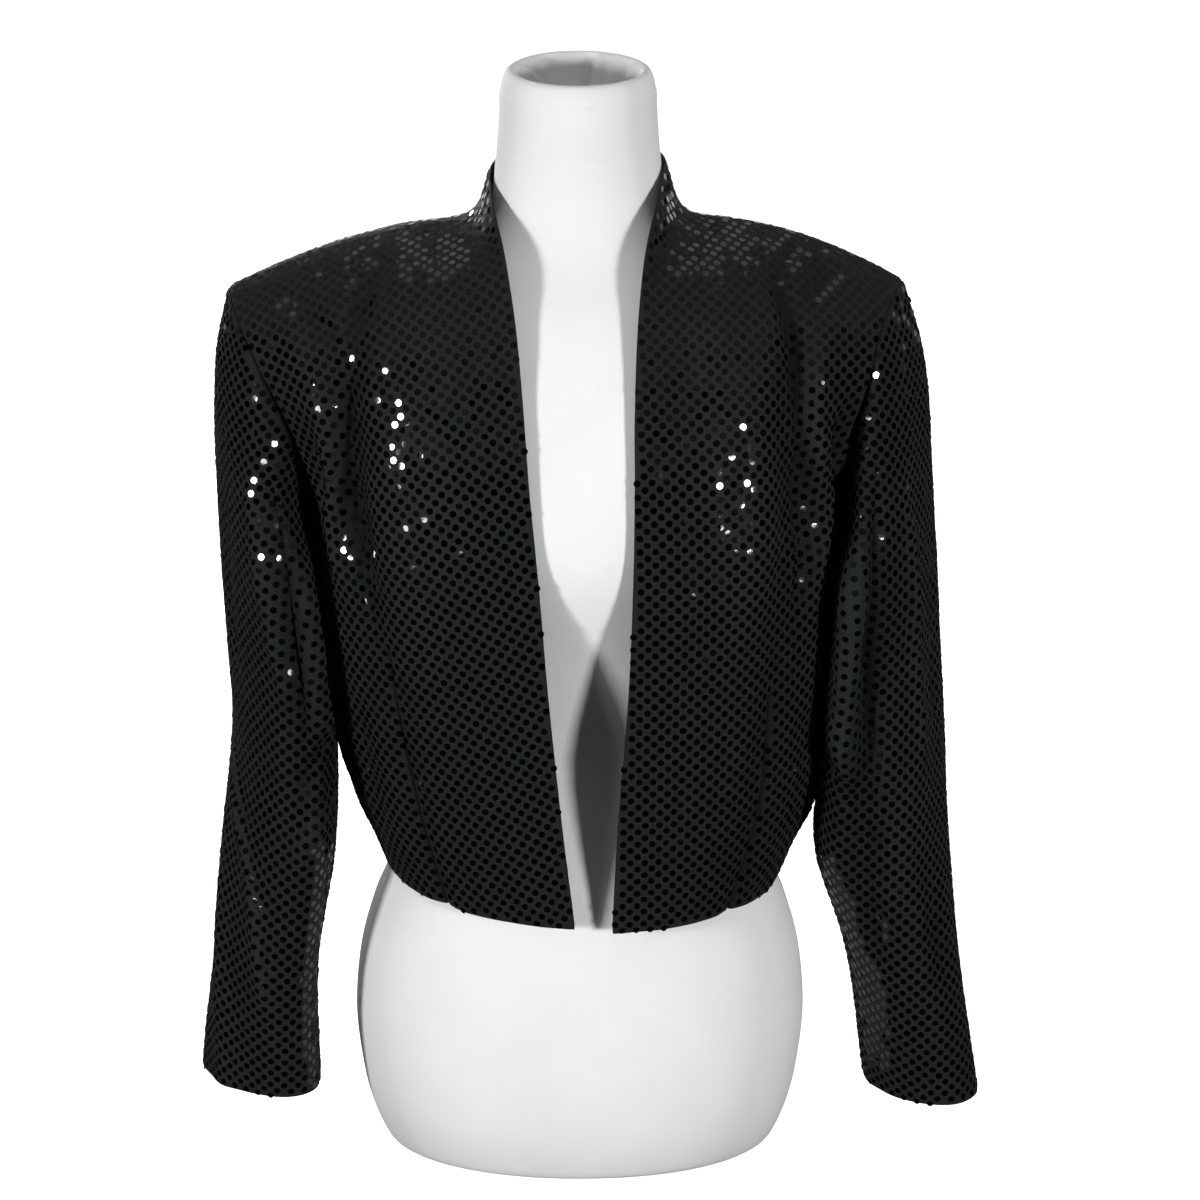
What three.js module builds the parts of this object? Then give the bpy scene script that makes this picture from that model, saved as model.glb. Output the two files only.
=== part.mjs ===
import * as THREE from 'three';

// A cropped, open-front bolero jacket with long set-in sleeves and padded shoulders, worn by a limbless
// dress form. Millimetres, +Z up. The jacket's front faces -Y, the wearer's left is +X, and z = 0 is the
// form's flat base. Panels are worked out for one half, with x counted outwards from the centre line, and
// are then put on their side.

// ---- Driving sizes ----
const CLOTH = 1.6; // thickness of the doubled, faced cloth
const SEAM = 0.55; // gap between two panels where they are sewn together
const PANEL_COLUMNS = 12; // steps of a front, or of a half back outside the neck, from side to side
const COLUMN_CROWDING = 0.5; // how far those steps crowd together towards the neck, from 0 to 1
const NECK_COLUMNS = 4; // steps of a half back along the collar's top edge
const ROWS_PER_LEVEL = 3; // steps from one level of a panel, or one ring of a sleeve, to the next
const BACK_NECK_SHARE = 0.28; // share of the half back that ends in the collar's top edge
const ARMPIT_LEVEL = 4; // the level at which the side seam ends and the armhole starts
const FORM_COLUMNS = 36; // steps round the dress form
const QUARTER = Math.PI / 2;

const table = (columns, rows) => (
  rows.map((row) => Object.fromEntries(columns.map((name, i) => [name, row[i]])))
);

// The shoulder's outline between the neck and the sleeve: a stand that falls away from the neck, then a
// padded slope.
const STAND_SHARE = { R: 0.39, L: 0.45 }; // share of the height that the stand takes: it is lower on the right
const STAND_WIDTH = 0.035; // how fast the stand falls, as a share of the shoulder
const PAD_POWER = { R: 1.9, L: 2.1 }; // how long the padded slope stays high before it drops to the sleeve

// Front panels. A row for each level from the hem to the shoulder seam: where the free front edge runs, and
// where the side seam runs, which becomes the front of the armhole above the armpit. R and L are the wearer's
// sides, which hang a little askew. round 1 carries the cloth round the body as an ellipse, and 0 takes it
// straight across. neck 1 gives the level the shoulder's outline, which stands up against the neck.
const FRONT_LEVELS = table(
  [
    'edgeR', 'edgeL', 'edgeY', 'edgeZR', 'edgeZL',
    'sideR', 'sideL', 'sideY', 'sideZR', 'sideZL', 'round', 'neck',
  ],
  [
    [3, 24, -118, 211, 208, 142, 149, 4, 222, 214, 1.0, 0],
    [12, 28, -120, 290, 290, 167, 176, 4, 290, 290, 1.0, 0],
    [21, 35, -124, 385, 385, 185, 183, 4, 385, 385, 1.0, 0],
    [27, 38, -128, 465, 465, 190, 186, 4, 462, 462, 1.0, 0],
    [33, 39, -122, 530, 530, 189, 185, 6, 494, 494, 1.0, 0],
    [37, 39, -111, 583, 583, 196, 189, -38, 540, 542, 0.75, 0],
    [42, 41, -94, 636, 636, 215, 201, -46, 586, 589, 0.5, 0.1],
    [50, 46, -72, 681, 681, 231, 209, -38, 618, 622, 0.3, 0.4],
    [58.8, 55.3, -36, 711, 716, 241, 219, -18, 638, 643, 0.1, 0.9],
    [62.3, 60.5, 0, 727, 736, 245, 227, 2, 647, 652, 0, 1],
  ],
);

// The back panel, level by level with the fronts. It shares their side seams up to the armpit. Above, armR
// and armL run up the back of the armhole, and the corner is where the stand round the back of the neck turns
// into the shoulder. stand says how much of its full share of the shoulder's height the stand has reached.
const BACK_COLUMNS = [
  'centreY', 'centreZ', 'armR', 'armL', 'armY', 'armZR', 'armZL', 'round', 'neck',
  'cornerXR', 'cornerXL', 'cornerY', 'cornerZR', 'cornerZL', 'stand',
];
const BACK_LEVELS = table(BACK_COLUMNS, [
  [97, 214, 142, 149, 4, 222, 214, 1.0, 0, 0, 0, 0, 0, 0, 0],
  [90, 290, 167, 176, 4, 290, 290, 1.0, 0, 0, 0, 0, 0, 0, 0],
  [99, 385, 185, 183, 4, 385, 385, 1.0, 0, 0, 0, 0, 0, 0, 0],
  [108, 465, 190, 186, 4, 462, 462, 1.0, 0, 0, 0, 0, 0, 0, 0],
  [113, 530, 189, 185, 6, 494, 494, 1.0, 0, 0, 0, 0, 0, 0, 0],
  [113, 583, 190, 184, 50, 546, 548, 0.8, 0, 0, 0, 0, 0, 0, 0],
  [107, 634, 205, 195, 58, 592, 595, 0.55, 0, 0, 0, 0, 0, 0, 0],
  [94, 676, 225, 207, 46, 622, 626, 0.35, 0.6, 84, 84, 56, 684, 684, 0],
  [77, 706, 240, 219, 24, 641, 646, 0.2, 1, 69.5, 69, 20, 703, 705, 0.44],
  [66, 742, 245, 227, 2, 647, 652, 0, 1, 62.3, 60.5, 0, 727, 736, 1],
]);

// Sleeves. A row for each ring below the armhole: its height, the inner and outer reach from the centre line,
// the middle and the half of its depth, and the skew that turns a flattened tube to the front or the back.
const RING_COLUMNS = ['z', 'inner', 'outer', 'middleY', 'halfDepth', 'skew'];
const SLEEVE_RINGS = {
  R: table(RING_COLUMNS, [
    [452, 186, 262, 2, 80, 38],
    [380, 179, 259, -2, 76, 38],
    [310, 172, 254.5, -8, 70, 30],
    [238, 177, 260, -16, 62, 24],
    [152, 191, 271, -22, 54, 24],
    [58, 191.5, 283, -25, 46, 26],
  ]),
  L: table(RING_COLUMNS, [
    [452, 182, 260, 2, 80, 38],
    [380, 177, 264.5, -2, 76, 38],
    [310, 173, 268, -7, 68, 28],
    [238, 171, 271, -12, 60, 12],
    [152, 196, 279.5, -18, 52, -4],
    [49, 211.5, 295.5, -22, 44, -16],
  ]),
};
const CAP_SHARE = 0.35; // where the sleeve cap's ring lies between the armhole and the first ring below it
const CAP_SWELL = 8; // how far the cap stands out there, over the end of the shoulder pad
const UNDERARM_EASE = 5; // how far the underarm stands off the side seam there

// Darts and folds. Each is a soft trough or ridge across u, centred at u and v, that leans by lean a level.
// width and length are its half sizes, in u and in levels, and out is its height, below 0 for a trough.
const DART = 0.462; // the waist dart follows a column of the panel
const FOLD_COLUMNS = ['u', 'v', 'lean', 'width', 'length', 'out'];
const FRONT_FOLDS = {
  R: table(FOLD_COLUMNS, [
    [DART, 0.6, 0, 0.045, 1.7, -3],
    [0.56, 4.3, 0.03, 0.07, 2.0, -6],
    [0.72, 4.6, 0.02, 0.08, 2.0, 4],
    [0.4, 4.0, 0, 0.14, 1.6, 8],
  ]),
  L: table(FOLD_COLUMNS, [
    [DART, 0.5, 0, 0.045, 1.6, -3],
    [0.52, 4.0, 0.02, 0.07, 2.2, -6],
    [0.82, 2.6, 0, 0.07, 1.8, -5],
    [0.68, 3.6, 0.01, 0.08, 2.2, 4],
    [0.38, 4.0, 0, 0.14, 1.6, 8],
  ]),
};
const BACK_FOLDS = {
  R: table(FOLD_COLUMNS, [[0.72, 3.6, 0.02, 0.08, 2.4, -5], [0.35, 2.0, 0, 0.12, 1.6, -3]]),
  L: table(FOLD_COLUMNS, [[0.68, 3.2, 0.03, 0.08, 2.2, -5], [0.38, 1.6, 0, 0.12, 1.6, -3]]),
};
const SLEEVE_FOLDS = {
  R: table(FOLD_COLUMNS, [
    [0.9, 2.6, 0.02, 0.05, 1.6, -9],
    [0.16, 5.7, -0.055, 0.035, 1.6, 5],
    [0.6, 3.4, 0, 0.06, 1.4, -6],
    [0.8, 4.2, 0, 0.06, 0.5, -5],
  ]),
  L: table(FOLD_COLUMNS, [
    [0.94, 3.6, -0.01, 0.045, 1.7, -10],
    [0.06, 3.8, 0.01, 0.05, 1.8, 4],
    [0.58, 3.2, 0, 0.06, 1.4, -6],
    [0.8, 4.3, 0, 0.06, 0.5, -4],
  ]),
};

// The dress form: a row for each section from the base to the dish in the neck's open top. front and back are
// the depths ahead of and behind y = 0, square makes an oval fuller, and tilt raises the neck's rim behind.
const FORM_SECTIONS = table(
  ['z', 'halfWidth', 'front', 'back', 'square', 'tilt'],
  [
    [0, 138, 86, 84, 2.1, 0],
    [5, 146, 93, 91, 2.1, 0],
    [31, 156.5, 102, 101, 2.1, 0],
    [63, 163, 107, 108, 2.1, 0],
    [105, 166.5, 109, 114, 2.1, 0],
    [152, 162, 107, 110, 2.1, 0],
    [192, 151, 103, 99, 2.0, 0],
    [218, 140.5, 99, 87, 2.0, 0],
    [270, 126, 85, 74, 2.0, 0],
    [330, 118, 76, 72, 2.1, 0],
    [400, 128, 92, 82, 2.1, 0],
    [470, 141, 119, 93, 2.1, 0],
    [530, 148, 116, 100, 2.2, 0],
    [590, 150, 101, 94, 2.2, 0],
    [635, 146, 81, 76, 2.1, 0],
    [662, 122, 63, 64, 2.0, 0],
    [684, 82.5, 51, 60, 2.0, 0],
    [706, 62.4, 45, 56, 2.0, 0],
    [738, 57.0, 46.5, 57.8, 2.0, 0.04],
    [770, 54.5, 52, 55, 2.0, 0.09],
    [790, 53.5, 52, 54, 2.0, 0.11],
    [798, 49, 47, 50, 2.0, 0.11],
    [797, 43, 41, 44, 2.0, 0.11],
    [784, 38, 36, 39, 2.0, 0.1],
    [768, 30, 28, 32, 2.0, 0.06],
    [757, 18, 17, 19, 2.0, 0.03],
    [753, 6, 6, 6, 2.0, 0],
  ],
);

// ---- Surfaces ----
const mix = (a, b, t) => a + (b - a) * t;
const smooth = (t) => THREE.MathUtils.smoothstep(t, 0, 1);
const steps = (from, to, count) => Array.from({ length: count + 1 }, (_, i) => mix(from, to, i / count));
const vector = (x, y, z) => new THREE.Vector3(x, y, z);

function catmull(before, from, to, after, t) {
  const curve = (a, b, c, d) => {
    const bend = 2 * a - 5 * b + 4 * c - d + t * (3 * (b - c) + d - a);
    return b + 0.5 * t * (c - a + t * bend);
  };
  return vector(
    curve(before.x, from.x, to.x, after.x),
    curve(before.y, from.y, to.y, after.y),
    curve(before.z, from.z, to.z, after.z),
  );
}

// A smooth surface through cross-sections. v counts the sections, and u runs along each of them. Towards
// u = 1 the stretch below section seamEnd takes no slope from the sections above it, where the side seam
// opens into the armhole.
function loft(sections, seamEnd) {
  const last = sections.length - 1;
  return (u, v) => {
    const k = Math.max(0, Math.min(Math.floor(v), last - 1));
    const from = sections[k](u);
    const to = sections[k + 1](u);
    const before = k > 0 ? sections[k - 1](u) : from.clone().multiplyScalar(2).sub(to);
    const straightOn = to.clone().multiplyScalar(2).sub(from);
    const after = k + 2 <= last ? sections[k + 2](u) : straightOn;
    if (k + 1 === seamEnd) after.lerp(straightOn, Math.abs(u) ** 8);
    return catmull(before, from, to, after, v - k);
  };
}

function shoulderFall(u, neck, stand, side) {
  const slope = 1 - Math.max(0, u) ** PAD_POWER[side];
  const outline = (1 - stand) * slope + stand * Math.exp(-u / STAND_WIDTH);
  return mix(1 - u, outline, neck);
}

function frontSection(level, side) {
  const edgeX = level[`edge${side}`];
  const sideX = level[`side${side}`];
  return (u) => vector(
    mix(edgeX, sideX, mix(u, Math.sin(u * QUARTER), level.round)),
    mix(level.edgeY, level.sideY, mix(u, 1 - Math.cos(u * QUARTER), level.round)),
    mix(level[`sideZ${side}`], level[`edgeZ${side}`], shoulderFall(u, level.neck, STAND_SHARE[side], side)),
  );
}

function backSection(level, side) {
  const armX = level[`arm${side}`];
  const armZ = level[`armZ${side}`];
  const cornerX = level[`cornerX${side}`];
  const cornerZ = level[`cornerZ${side}`];
  const body = (u) => vector(
    armX * mix(u, Math.sin(u * QUARTER), level.round),
    mix(level.centreY, level.armY, mix(u, 1 - Math.cos(u * QUARTER), level.round)),
    mix(level.centreZ, armZ, u),
  );
  const yoke = (u) => {
    if (u < BACK_NECK_SHARE) {
      const turn = (u / BACK_NECK_SHARE) * QUARTER;
      return vector(
        cornerX * Math.sin(turn),
        mix(level.cornerY, level.centreY, Math.cos(turn)),
        mix(cornerZ, level.centreZ, Math.cos(turn)),
      );
    }
    const along = (u - BACK_NECK_SHARE) / (1 - BACK_NECK_SHARE);
    return vector(
      mix(cornerX, armX, along),
      mix(level.cornerY, level.armY, along),
      mix(armZ, cornerZ, shoulderFall(along, 1, level.stand * STAND_SHARE[side], side)),
    );
  };
  return (u) => body(u).lerp(yoke(u), level.neck);
}

function ringSection(ring) {
  const skew = THREE.MathUtils.degToRad(ring.skew);
  return (psi) => vector(
    mix(ring.inner, ring.outer, 0.5 + 0.5 * Math.sin(psi * 4 * QUARTER)),
    ring.middleY - ring.halfDepth * Math.cos(psi * 4 * QUARTER + skew),
    ring.z,
  );
}

function formSection(section) {
  const power = 2 / section.square;
  return (u) => {
    const across = Math.sin(u * 4 * QUARTER);
    const along = -Math.cos(u * 4 * QUARTER);
    const depth = along < 0 ? section.front : section.back;
    const y = depth * Math.sign(along) * Math.abs(along) ** power;
    const x = section.halfWidth * Math.sign(across) * Math.abs(across) ** power;
    return vector(x, y, section.z + section.tilt * y);
  };
}

// ---- Walls ----
const STEP = 1e-3; // step in u and v for measuring a surface's slope

// A grid of points on a surface, each with the surface's outward normal there.
function sampleSurface(surface, us, vs, facing) {
  return vs.map((v) => us.map((u) => {
    const along = surface(u + STEP, v).sub(surface(u - STEP, v));
    const up = surface(u, v + STEP).sub(surface(u, v - STEP));
    const normal = along.cross(up).normalize().multiplyScalar(facing);
    return { point: surface(u, v), normal, through: normal.clone() };
  }));
}

// Moves the points of a grid out along their normals by its folds, which die away where pinned is 0.
function applyFolds(grid, us, vs, folds, pinned, wraps) {
  grid.forEach((row, j) => row.forEach((cell, i) => {
    let out = 0;
    for (const fold of folds) {
      const distance = us[i] - fold.u - fold.lean * (vs[j] - fold.v);
      const across = wraps ? distance - Math.round(distance) : distance;
      out += fold.out * Math.exp(-((across / fold.width) ** 2) - ((vs[j] - fold.v) / fold.length) ** 2);
    }
    cell.point.addScaledVector(cell.normal, out * pinned(us[i], vs[j]));
  }));
}

const key = (point) => [point.x, point.y, point.z].map((value) => value.toFixed(2)).join(' ');

// Finds the direction midway between the normals of the panels that meet at each point.
function shareNormals(grids) {
  const meeting = new Map();
  for (const cell of grids.flat(2)) {
    const cells = meeting.get(key(cell.point)) ?? [];
    meeting.set(key(cell.point), [...cells, cell]);
  }
  for (const cells of meeting.values()) {
    const common = cells.reduce((sum, cell) => sum.add(cell.normal), vector(0, 0, 0)).normalize();
    for (const cell of cells) cell.common = common;
  }
}

// Draws the cells of a panel's edge back from a seam. Over a ridge they go back into the panel, and the walls
// of both panels take one mitered direction through the cloth. In a fold they go back from each other, each
// along its normal.
function openSeam(cells, neighbours) {
  cells.forEach((cell, i) => {
    const inwards = neighbours[i].point.clone().sub(cell.point).normalize();
    const agreement = cell.common.dot(cell.normal);
    const fold = Math.max(smooth(3 * inwards.dot(cell.common)), smooth((0.5 - agreement) * 3));
    const back = inwards.lerp(cell.normal.clone().negate(), fold).normalize();
    cell.point.addScaledVector(back, SEAM * mix(0.5, 1, fold));
    cell.through = cell.common.clone().divideScalar(Math.max(0.6, agreement)).lerp(cell.normal, fold);
  });
}

// A closed wall of cloth, from a grid of outer points. joined closes the grid into a tube.
function wallGeometry(grid, joined) {
  const rows = grid.length;
  const columns = grid[0].length;
  const outer = grid.flat().map((cell) => cell.point);
  const inner = grid.flat().map((cell) => cell.point.clone().addScaledVector(cell.through, -CLOTH));
  const at = (layer, j, i) => layer * rows * columns + j * columns + (i % columns);
  const index = [];
  const quad = (a, b, c, d) => index.push(a, b, c, a, c, d);
  const lastColumn = joined ? columns : columns - 1;
  for (let i = 0; i < lastColumn; i += 1) {
    for (let j = 0; j < rows - 1; j += 1) {
      quad(at(0, j, i), at(0, j, i + 1), at(0, j + 1, i + 1), at(0, j + 1, i));
      quad(at(1, j, i), at(1, j + 1, i), at(1, j + 1, i + 1), at(1, j, i + 1));
    }
    quad(at(0, 0, i), at(1, 0, i), at(1, 0, i + 1), at(0, 0, i + 1));
    quad(at(0, rows - 1, i), at(0, rows - 1, i + 1), at(1, rows - 1, i + 1), at(1, rows - 1, i));
  }
  for (let j = 0; !joined && j < rows - 1; j += 1) {
    quad(at(0, j, 0), at(0, j + 1, 0), at(1, j + 1, 0), at(1, j, 0));
    quad(at(0, j, columns - 1), at(1, j, columns - 1), at(1, j + 1, columns - 1), at(0, j + 1, columns - 1));
  }
  return meshGeometry([...outer, ...inner], index);
}

function meshGeometry(points, index) {
  const geometry = new THREE.BufferGeometry();
  const numbers = points.flatMap((p) => [p.x, p.y, p.z]);
  geometry.setAttribute('position', new THREE.Float32BufferAttribute(numbers, 3));
  geometry.setIndex(index);
  geometry.computeVertexNormals();
  return geometry;
}

// ---- The jacket ----
const topLevel = FRONT_LEVELS.length - 1;
const armpitRow = ARMPIT_LEVEL * ROWS_PER_LEVEL;
const topRow = topLevel * ROWS_PER_LEVEL;
const panelVs = steps(0, topLevel, topRow);
const frontUs = steps(0, 1, PANEL_COLUMNS).map((t) => mix(t, t * t, COLUMN_CROWDING));
const neckUs = steps(0, BACK_NECK_SHARE, NECK_COLUMNS).slice(0, -1);
const backUs = [...neckUs, ...frontUs.map((u) => mix(BACK_NECK_SHARE, 1, u))];
const sleeveColumns = 2 * (topRow - armpitRow);
const sleevePsis = steps(-0.25, 0.75, sleeveColumns).slice(0, -1);

const frontPin = (u, v) => smooth((1 - u) / 0.15) * smooth((topLevel - v) / 1.5);
const backPin = (u, v) => frontPin(u, v) * smooth(u / 0.1);
const sleevePin = (psi, v) => smooth(v / 1.5);

function halfJacket(side) {
  const across = side === 'L' ? 1 : -1;
  const place = (surface) => (u, v) => surface(u, v).multiply(vector(across, 1, 1));
  const frontHalf = loft(FRONT_LEVELS.map((level) => frontSection(level, side)), ARMPIT_LEVEL);
  const backHalf = loft(BACK_LEVELS.map((level) => backSection(level, side)), ARMPIT_LEVEL);
  // Round the armhole, psi is 0 at the front, 0.25 at the shoulder, 0.5 at the back and 0.75 at the armpit.
  const armhole = (psi) => {
    const turn = ((psi + 1.25) % 1) * 2;
    return turn <= 1
      ? frontHalf(1, mix(ARMPIT_LEVEL, topLevel, turn))
      : backHalf(1, mix(topLevel, ARMPIT_LEVEL, turn - 1));
  };
  const rings = SLEEVE_RINGS[side].map(ringSection);
  const cap = (psi) => {
    const point = armhole(psi).lerp(rings[0](psi), CAP_SHARE);
    const outwards = Math.sin(psi * 4 * QUARTER);
    point.x += outwards > 0 ? CAP_SWELL * outwards : -UNDERARM_EASE * outwards;
    return point;
  };
  const sleeveHalf = loft([armhole, cap, ...rings]);
  const sleeveVs = steps(0, rings.length + 1, (rings.length + 1) * ROWS_PER_LEVEL);

  const front = sampleSurface(place(frontHalf), frontUs, panelVs, across);
  const back = sampleSurface(place(backHalf), backUs, panelVs, -across);
  const sleeve = sampleSurface(place(sleeveHalf), sleevePsis, sleeveVs, -across);
  applyFolds(front, frontUs, panelVs, FRONT_FOLDS[side], frontPin, false);
  applyFolds(back, backUs, panelVs, BACK_FOLDS[side], backPin, false);
  applyFolds(sleeve, sleevePsis, sleeveVs, SLEEVE_FOLDS[side], sleevePin, true);
  shareNormals([front, back, sleeve]);

  const column = (grid, i) => grid.map((row) => row.at(i));
  openSeam(column(front, -1), column(front, -2));
  openSeam(front[topRow], front[topRow - 1]);
  openSeam(column(back, -1), column(back, -2));
  openSeam(back[topRow].slice(NECK_COLUMNS), back[topRow - 1].slice(NECK_COLUMNS));
  openSeam(sleeve[0], sleeve[1]);
  return { front, back, sleeve };
}

const right = halfJacket('R');
const left = halfJacket('L');
// The two half backs share their centre column, and the back's columns run from the wearer's left to right.
const wholeBack = left.back.map((row, j) => [...row.toReversed(), ...right.back[j].slice(1)]);
for (const row of wholeBack) row[backUs.length - 1].through.setX(0).normalize();
const mirrored = (grid) => grid.map((row) => row.toReversed());

// ---- The dress form ----
function formGeometry() {
  const surface = loft(FORM_SECTIONS.map(formSection));
  const us = steps(0, 1, FORM_COLUMNS).slice(0, -1);
  const last = FORM_SECTIONS.length - 1;
  const vs = steps(0, last, last);
  const points = vs.flatMap((v) => us.map((u) => surface(u, v)));
  const index = [];
  const at = (j, i) => j * FORM_COLUMNS + (i % FORM_COLUMNS);
  for (let j = 0; j < vs.length - 1; j += 1) {
    for (let i = 0; i < FORM_COLUMNS; i += 1) {
      index.push(at(j, i), at(j, i + 1), at(j + 1, i + 1), at(j, i), at(j + 1, i + 1), at(j + 1, i));
    }
  }
  const base = points.push(vector(0, 0, FORM_SECTIONS[0].z)) - 1;
  const dish = points.push(vector(0, 0, FORM_SECTIONS[last].z - 1)) - 1;
  for (let i = 0; i < FORM_COLUMNS; i += 1) {
    index.push(base, at(0, i + 1), at(0, i));
    index.push(dish, at(vs.length - 1, i), at(vs.length - 1, i + 1));
  }
  return meshGeometry(points, index);
}

// ---- The scene ----
const sequinnedKnit = () => (
  new THREE.MeshStandardMaterial({ name: 'sequinned_knit', color: 0x1a1d1f, roughness: 0.6, metalness: 0 })
);
const jersey = () => (
  new THREE.MeshStandardMaterial({ name: 'jersey', color: 0xe9e8e6, roughness: 0.9, metalness: 0 })
);

function node(name, geometry, material) {
  const mesh = new THREE.Mesh(geometry, material);
  mesh.name = name;
  return mesh;
}

const part = new THREE.Group();
part.add(node('front_right', wallGeometry(mirrored(right.front), false), sequinnedKnit()));
part.add(node('front_left', wallGeometry(left.front, false), sequinnedKnit()));
part.add(node('back', wallGeometry(wholeBack, false), sequinnedKnit()));
part.add(node('sleeve_right', wallGeometry(right.sleeve, true), sequinnedKnit()));
part.add(node('sleeve_left', wallGeometry(mirrored(left.sleeve), true), sequinnedKnit()));
part.add(node('dress_form', formGeometry(), jersey()));

export default part;
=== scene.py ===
import math

import bpy
import numpy as np
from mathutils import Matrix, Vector


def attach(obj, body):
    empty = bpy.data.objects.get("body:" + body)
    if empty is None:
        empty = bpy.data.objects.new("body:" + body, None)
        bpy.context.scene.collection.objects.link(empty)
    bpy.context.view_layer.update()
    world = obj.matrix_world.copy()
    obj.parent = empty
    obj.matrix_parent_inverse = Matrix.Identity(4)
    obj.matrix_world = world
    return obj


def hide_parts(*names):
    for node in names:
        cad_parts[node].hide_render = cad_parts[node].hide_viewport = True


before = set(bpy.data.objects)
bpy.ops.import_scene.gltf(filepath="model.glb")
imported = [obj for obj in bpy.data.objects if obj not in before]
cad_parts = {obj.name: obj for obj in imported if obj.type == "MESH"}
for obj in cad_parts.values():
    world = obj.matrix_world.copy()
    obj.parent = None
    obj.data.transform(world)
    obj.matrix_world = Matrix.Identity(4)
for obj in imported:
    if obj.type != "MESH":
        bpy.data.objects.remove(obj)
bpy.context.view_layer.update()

# ------------------------------------------------
# The dress form. A limbless torso of light hard foam under a white jersey cover, which is drawn up over the neck and
# tucked down into its open top in loose folds. Sizes are in millimetres, a section a row from the base to the dish.
FORM_SECTIONS = [
    # z, half width, depth in front, depth behind, squareness, tilt of the rim
    (0, 138, 86, 84, 2.1, 0), (5, 146, 93, 91, 2.1, 0), (31, 156.5, 102, 101, 2.1, 0), (63, 163, 107, 108, 2.1, 0),
    (105, 166.5, 109, 114, 2.1, 0), (152, 162, 107, 110, 2.1, 0), (192, 151, 103, 99, 2.0, 0),
    (218, 140.5, 99, 87, 2.0, 0), (270, 126, 85, 74, 2.0, 0), (330, 118, 76, 72, 2.1, 0), (400, 128, 92, 82, 2.1, 0),
    (470, 141, 119, 93, 2.1, 0), (530, 148, 116, 100, 2.2, 0), (590, 150, 101, 94, 2.2, 0), (635, 146, 81, 76, 2.1, 0),
    (662, 122, 63, 64, 2.0, 0), (684, 82.5, 51, 60, 2.0, 0), (706, 62.4, 45, 56, 2.0, 0),
    (738, 57.0, 46.5, 57.8, 2.0, 0.04), (770, 54.5, 52, 55, 2.0, 0.09), (790, 53.5, 52, 54, 2.0, 0.11),
    (798, 49, 47, 50, 2.0, 0.11), (797, 43, 41, 44, 2.0, 0.11), (784, 38, 36, 39, 2.0, 0.10),
    (768, 30, 28, 32, 2.0, 0.06), (757, 18, 17, 19, 2.0, 0.03), (753, 6, 6, 6, 2.0, 0.0),
]
FORM_COLUMNS = 200
FORM_ROWS_PER_SECTION = 5
# Tucks of the cover in the neck: angle round the neck and its lean in radians, half width, height in millimetres
NECK_TUCKS = [
    (2.90, 0.07, 0.08, -5.5), (2.70, 0.06, 0.12, 3.6), (3.34, 0.04, 0.16, 2.0), (3.70, -0.06, 0.11, -2.6),
    (4.52, -0.36, 0.10, 4.2), (4.22, -0.30, 0.09, -3.0), (1.76, 0.28, 0.10, 3.8), (2.05, 0.20, 0.09, -2.8),
    (2.38, 0.10, 0.13, 1.8), (0.30, 0.30, 0.12, 3.0), (0.95, -0.20, 0.13, -3.0), (5.30, -0.30, 0.10, 3.4),
    (5.85, 0.20, 0.12, -3.0),
]
RIM_SECTION, TUCKS_RISE, TUCKS_FADE = 21.7, 0.9, 0.8
# The foam's rounded lip shows through below the rim, and the cover is drawn into a faint crease across the neck.
# The lip's places and lengths are counted in sections, its depth is in millimetres.
LIP = {"place": 19.62, "rise": 0.16, "end": 21.0, "fade": 0.8, "depth": 0.8}
NECK_CREASE = {"height": 742, "half height": 1.3, "angle": 0.32, "half angle": 0.3, "depth": 0.5}
# Extra rows, counted in sections, for that crease and for the lip
CLOSE_ROWS = np.concatenate([np.arange(18.0, 18.32, 0.04), np.arange(19.44, 20.0, 0.04)])
COVER_RADIUS = 130
METRES = 0.001
# Edges are smooth below an angle in radians, slopes are measured over a step, and a seam's pull fades by a power
SMOOTH_BELOW, SLOPE_STEP, SEAM_BLEND = 0.7, 1e-3, 8
FAR = 1e9


def catmull(before, start, end, after, t):
    bend = 2 * before - 5 * start + 4 * end - after + t * (3 * (start - end) + after - before)
    return start + 0.5 * t * (end - before + t * bend)


def loft(sections, seam_end=None):
    """A smooth surface through cross-sections: v counts them, and u runs along each.

    Below the section seam_end the seam at u 1 runs straight on, because the armhole turns away there."""
    last = len(sections) - 1

    def surface(u, v):
        k = max(0, min(int(math.floor(v)), last - 1))
        start, end = sections[k](u), sections[k + 1](u)
        before = sections[k - 1](u) if k > 0 else 2 * start - end
        straight_on = 2 * end - start
        after = sections[k + 2](u) if k + 2 <= last else straight_on
        if k + 1 == seam_end:
            after = after + (straight_on - after) * np.abs(u)[:, None] ** SEAM_BLEND
        return catmull(before, start, end, after, v - k)

    return surface


def smooth(t):
    t = np.clip(t, 0, 1)
    return t * t * (3 - 2 * t)


def mix(a, b, t):
    return a + (b - a) * t


def unit(vectors):
    return vectors / np.maximum(np.linalg.norm(vectors, axis=-1, keepdims=True), 1e-9)


def measure(surface, us, vs, facing):
    """Points of a surface, and its outward normals there, from the slopes along u and v."""
    points = np.array([surface(us, v) for v in vs])
    along = np.array([surface(us + SLOPE_STEP, v) - surface(us - SLOPE_STEP, v) for v in vs])
    up = np.array([surface(us, v + SLOPE_STEP) - surface(us, v - SLOPE_STEP) for v in vs])
    return points, unit(np.cross(along, up)) * facing


def levels(last, rows_per_level):
    return np.linspace(0, last, last * rows_per_level + 1)


def cells(grid):
    """The four corners of every cell of a grid, anticlockwise."""
    return np.stack([grid[:-1, :-1], grid[:-1, 1:], grid[1:, 1:], grid[1:, :-1]], 2)


def linked(name, data):
    made = bpy.data.objects.new(name, data)
    bpy.context.scene.collection.objects.link(made)
    return made


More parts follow.
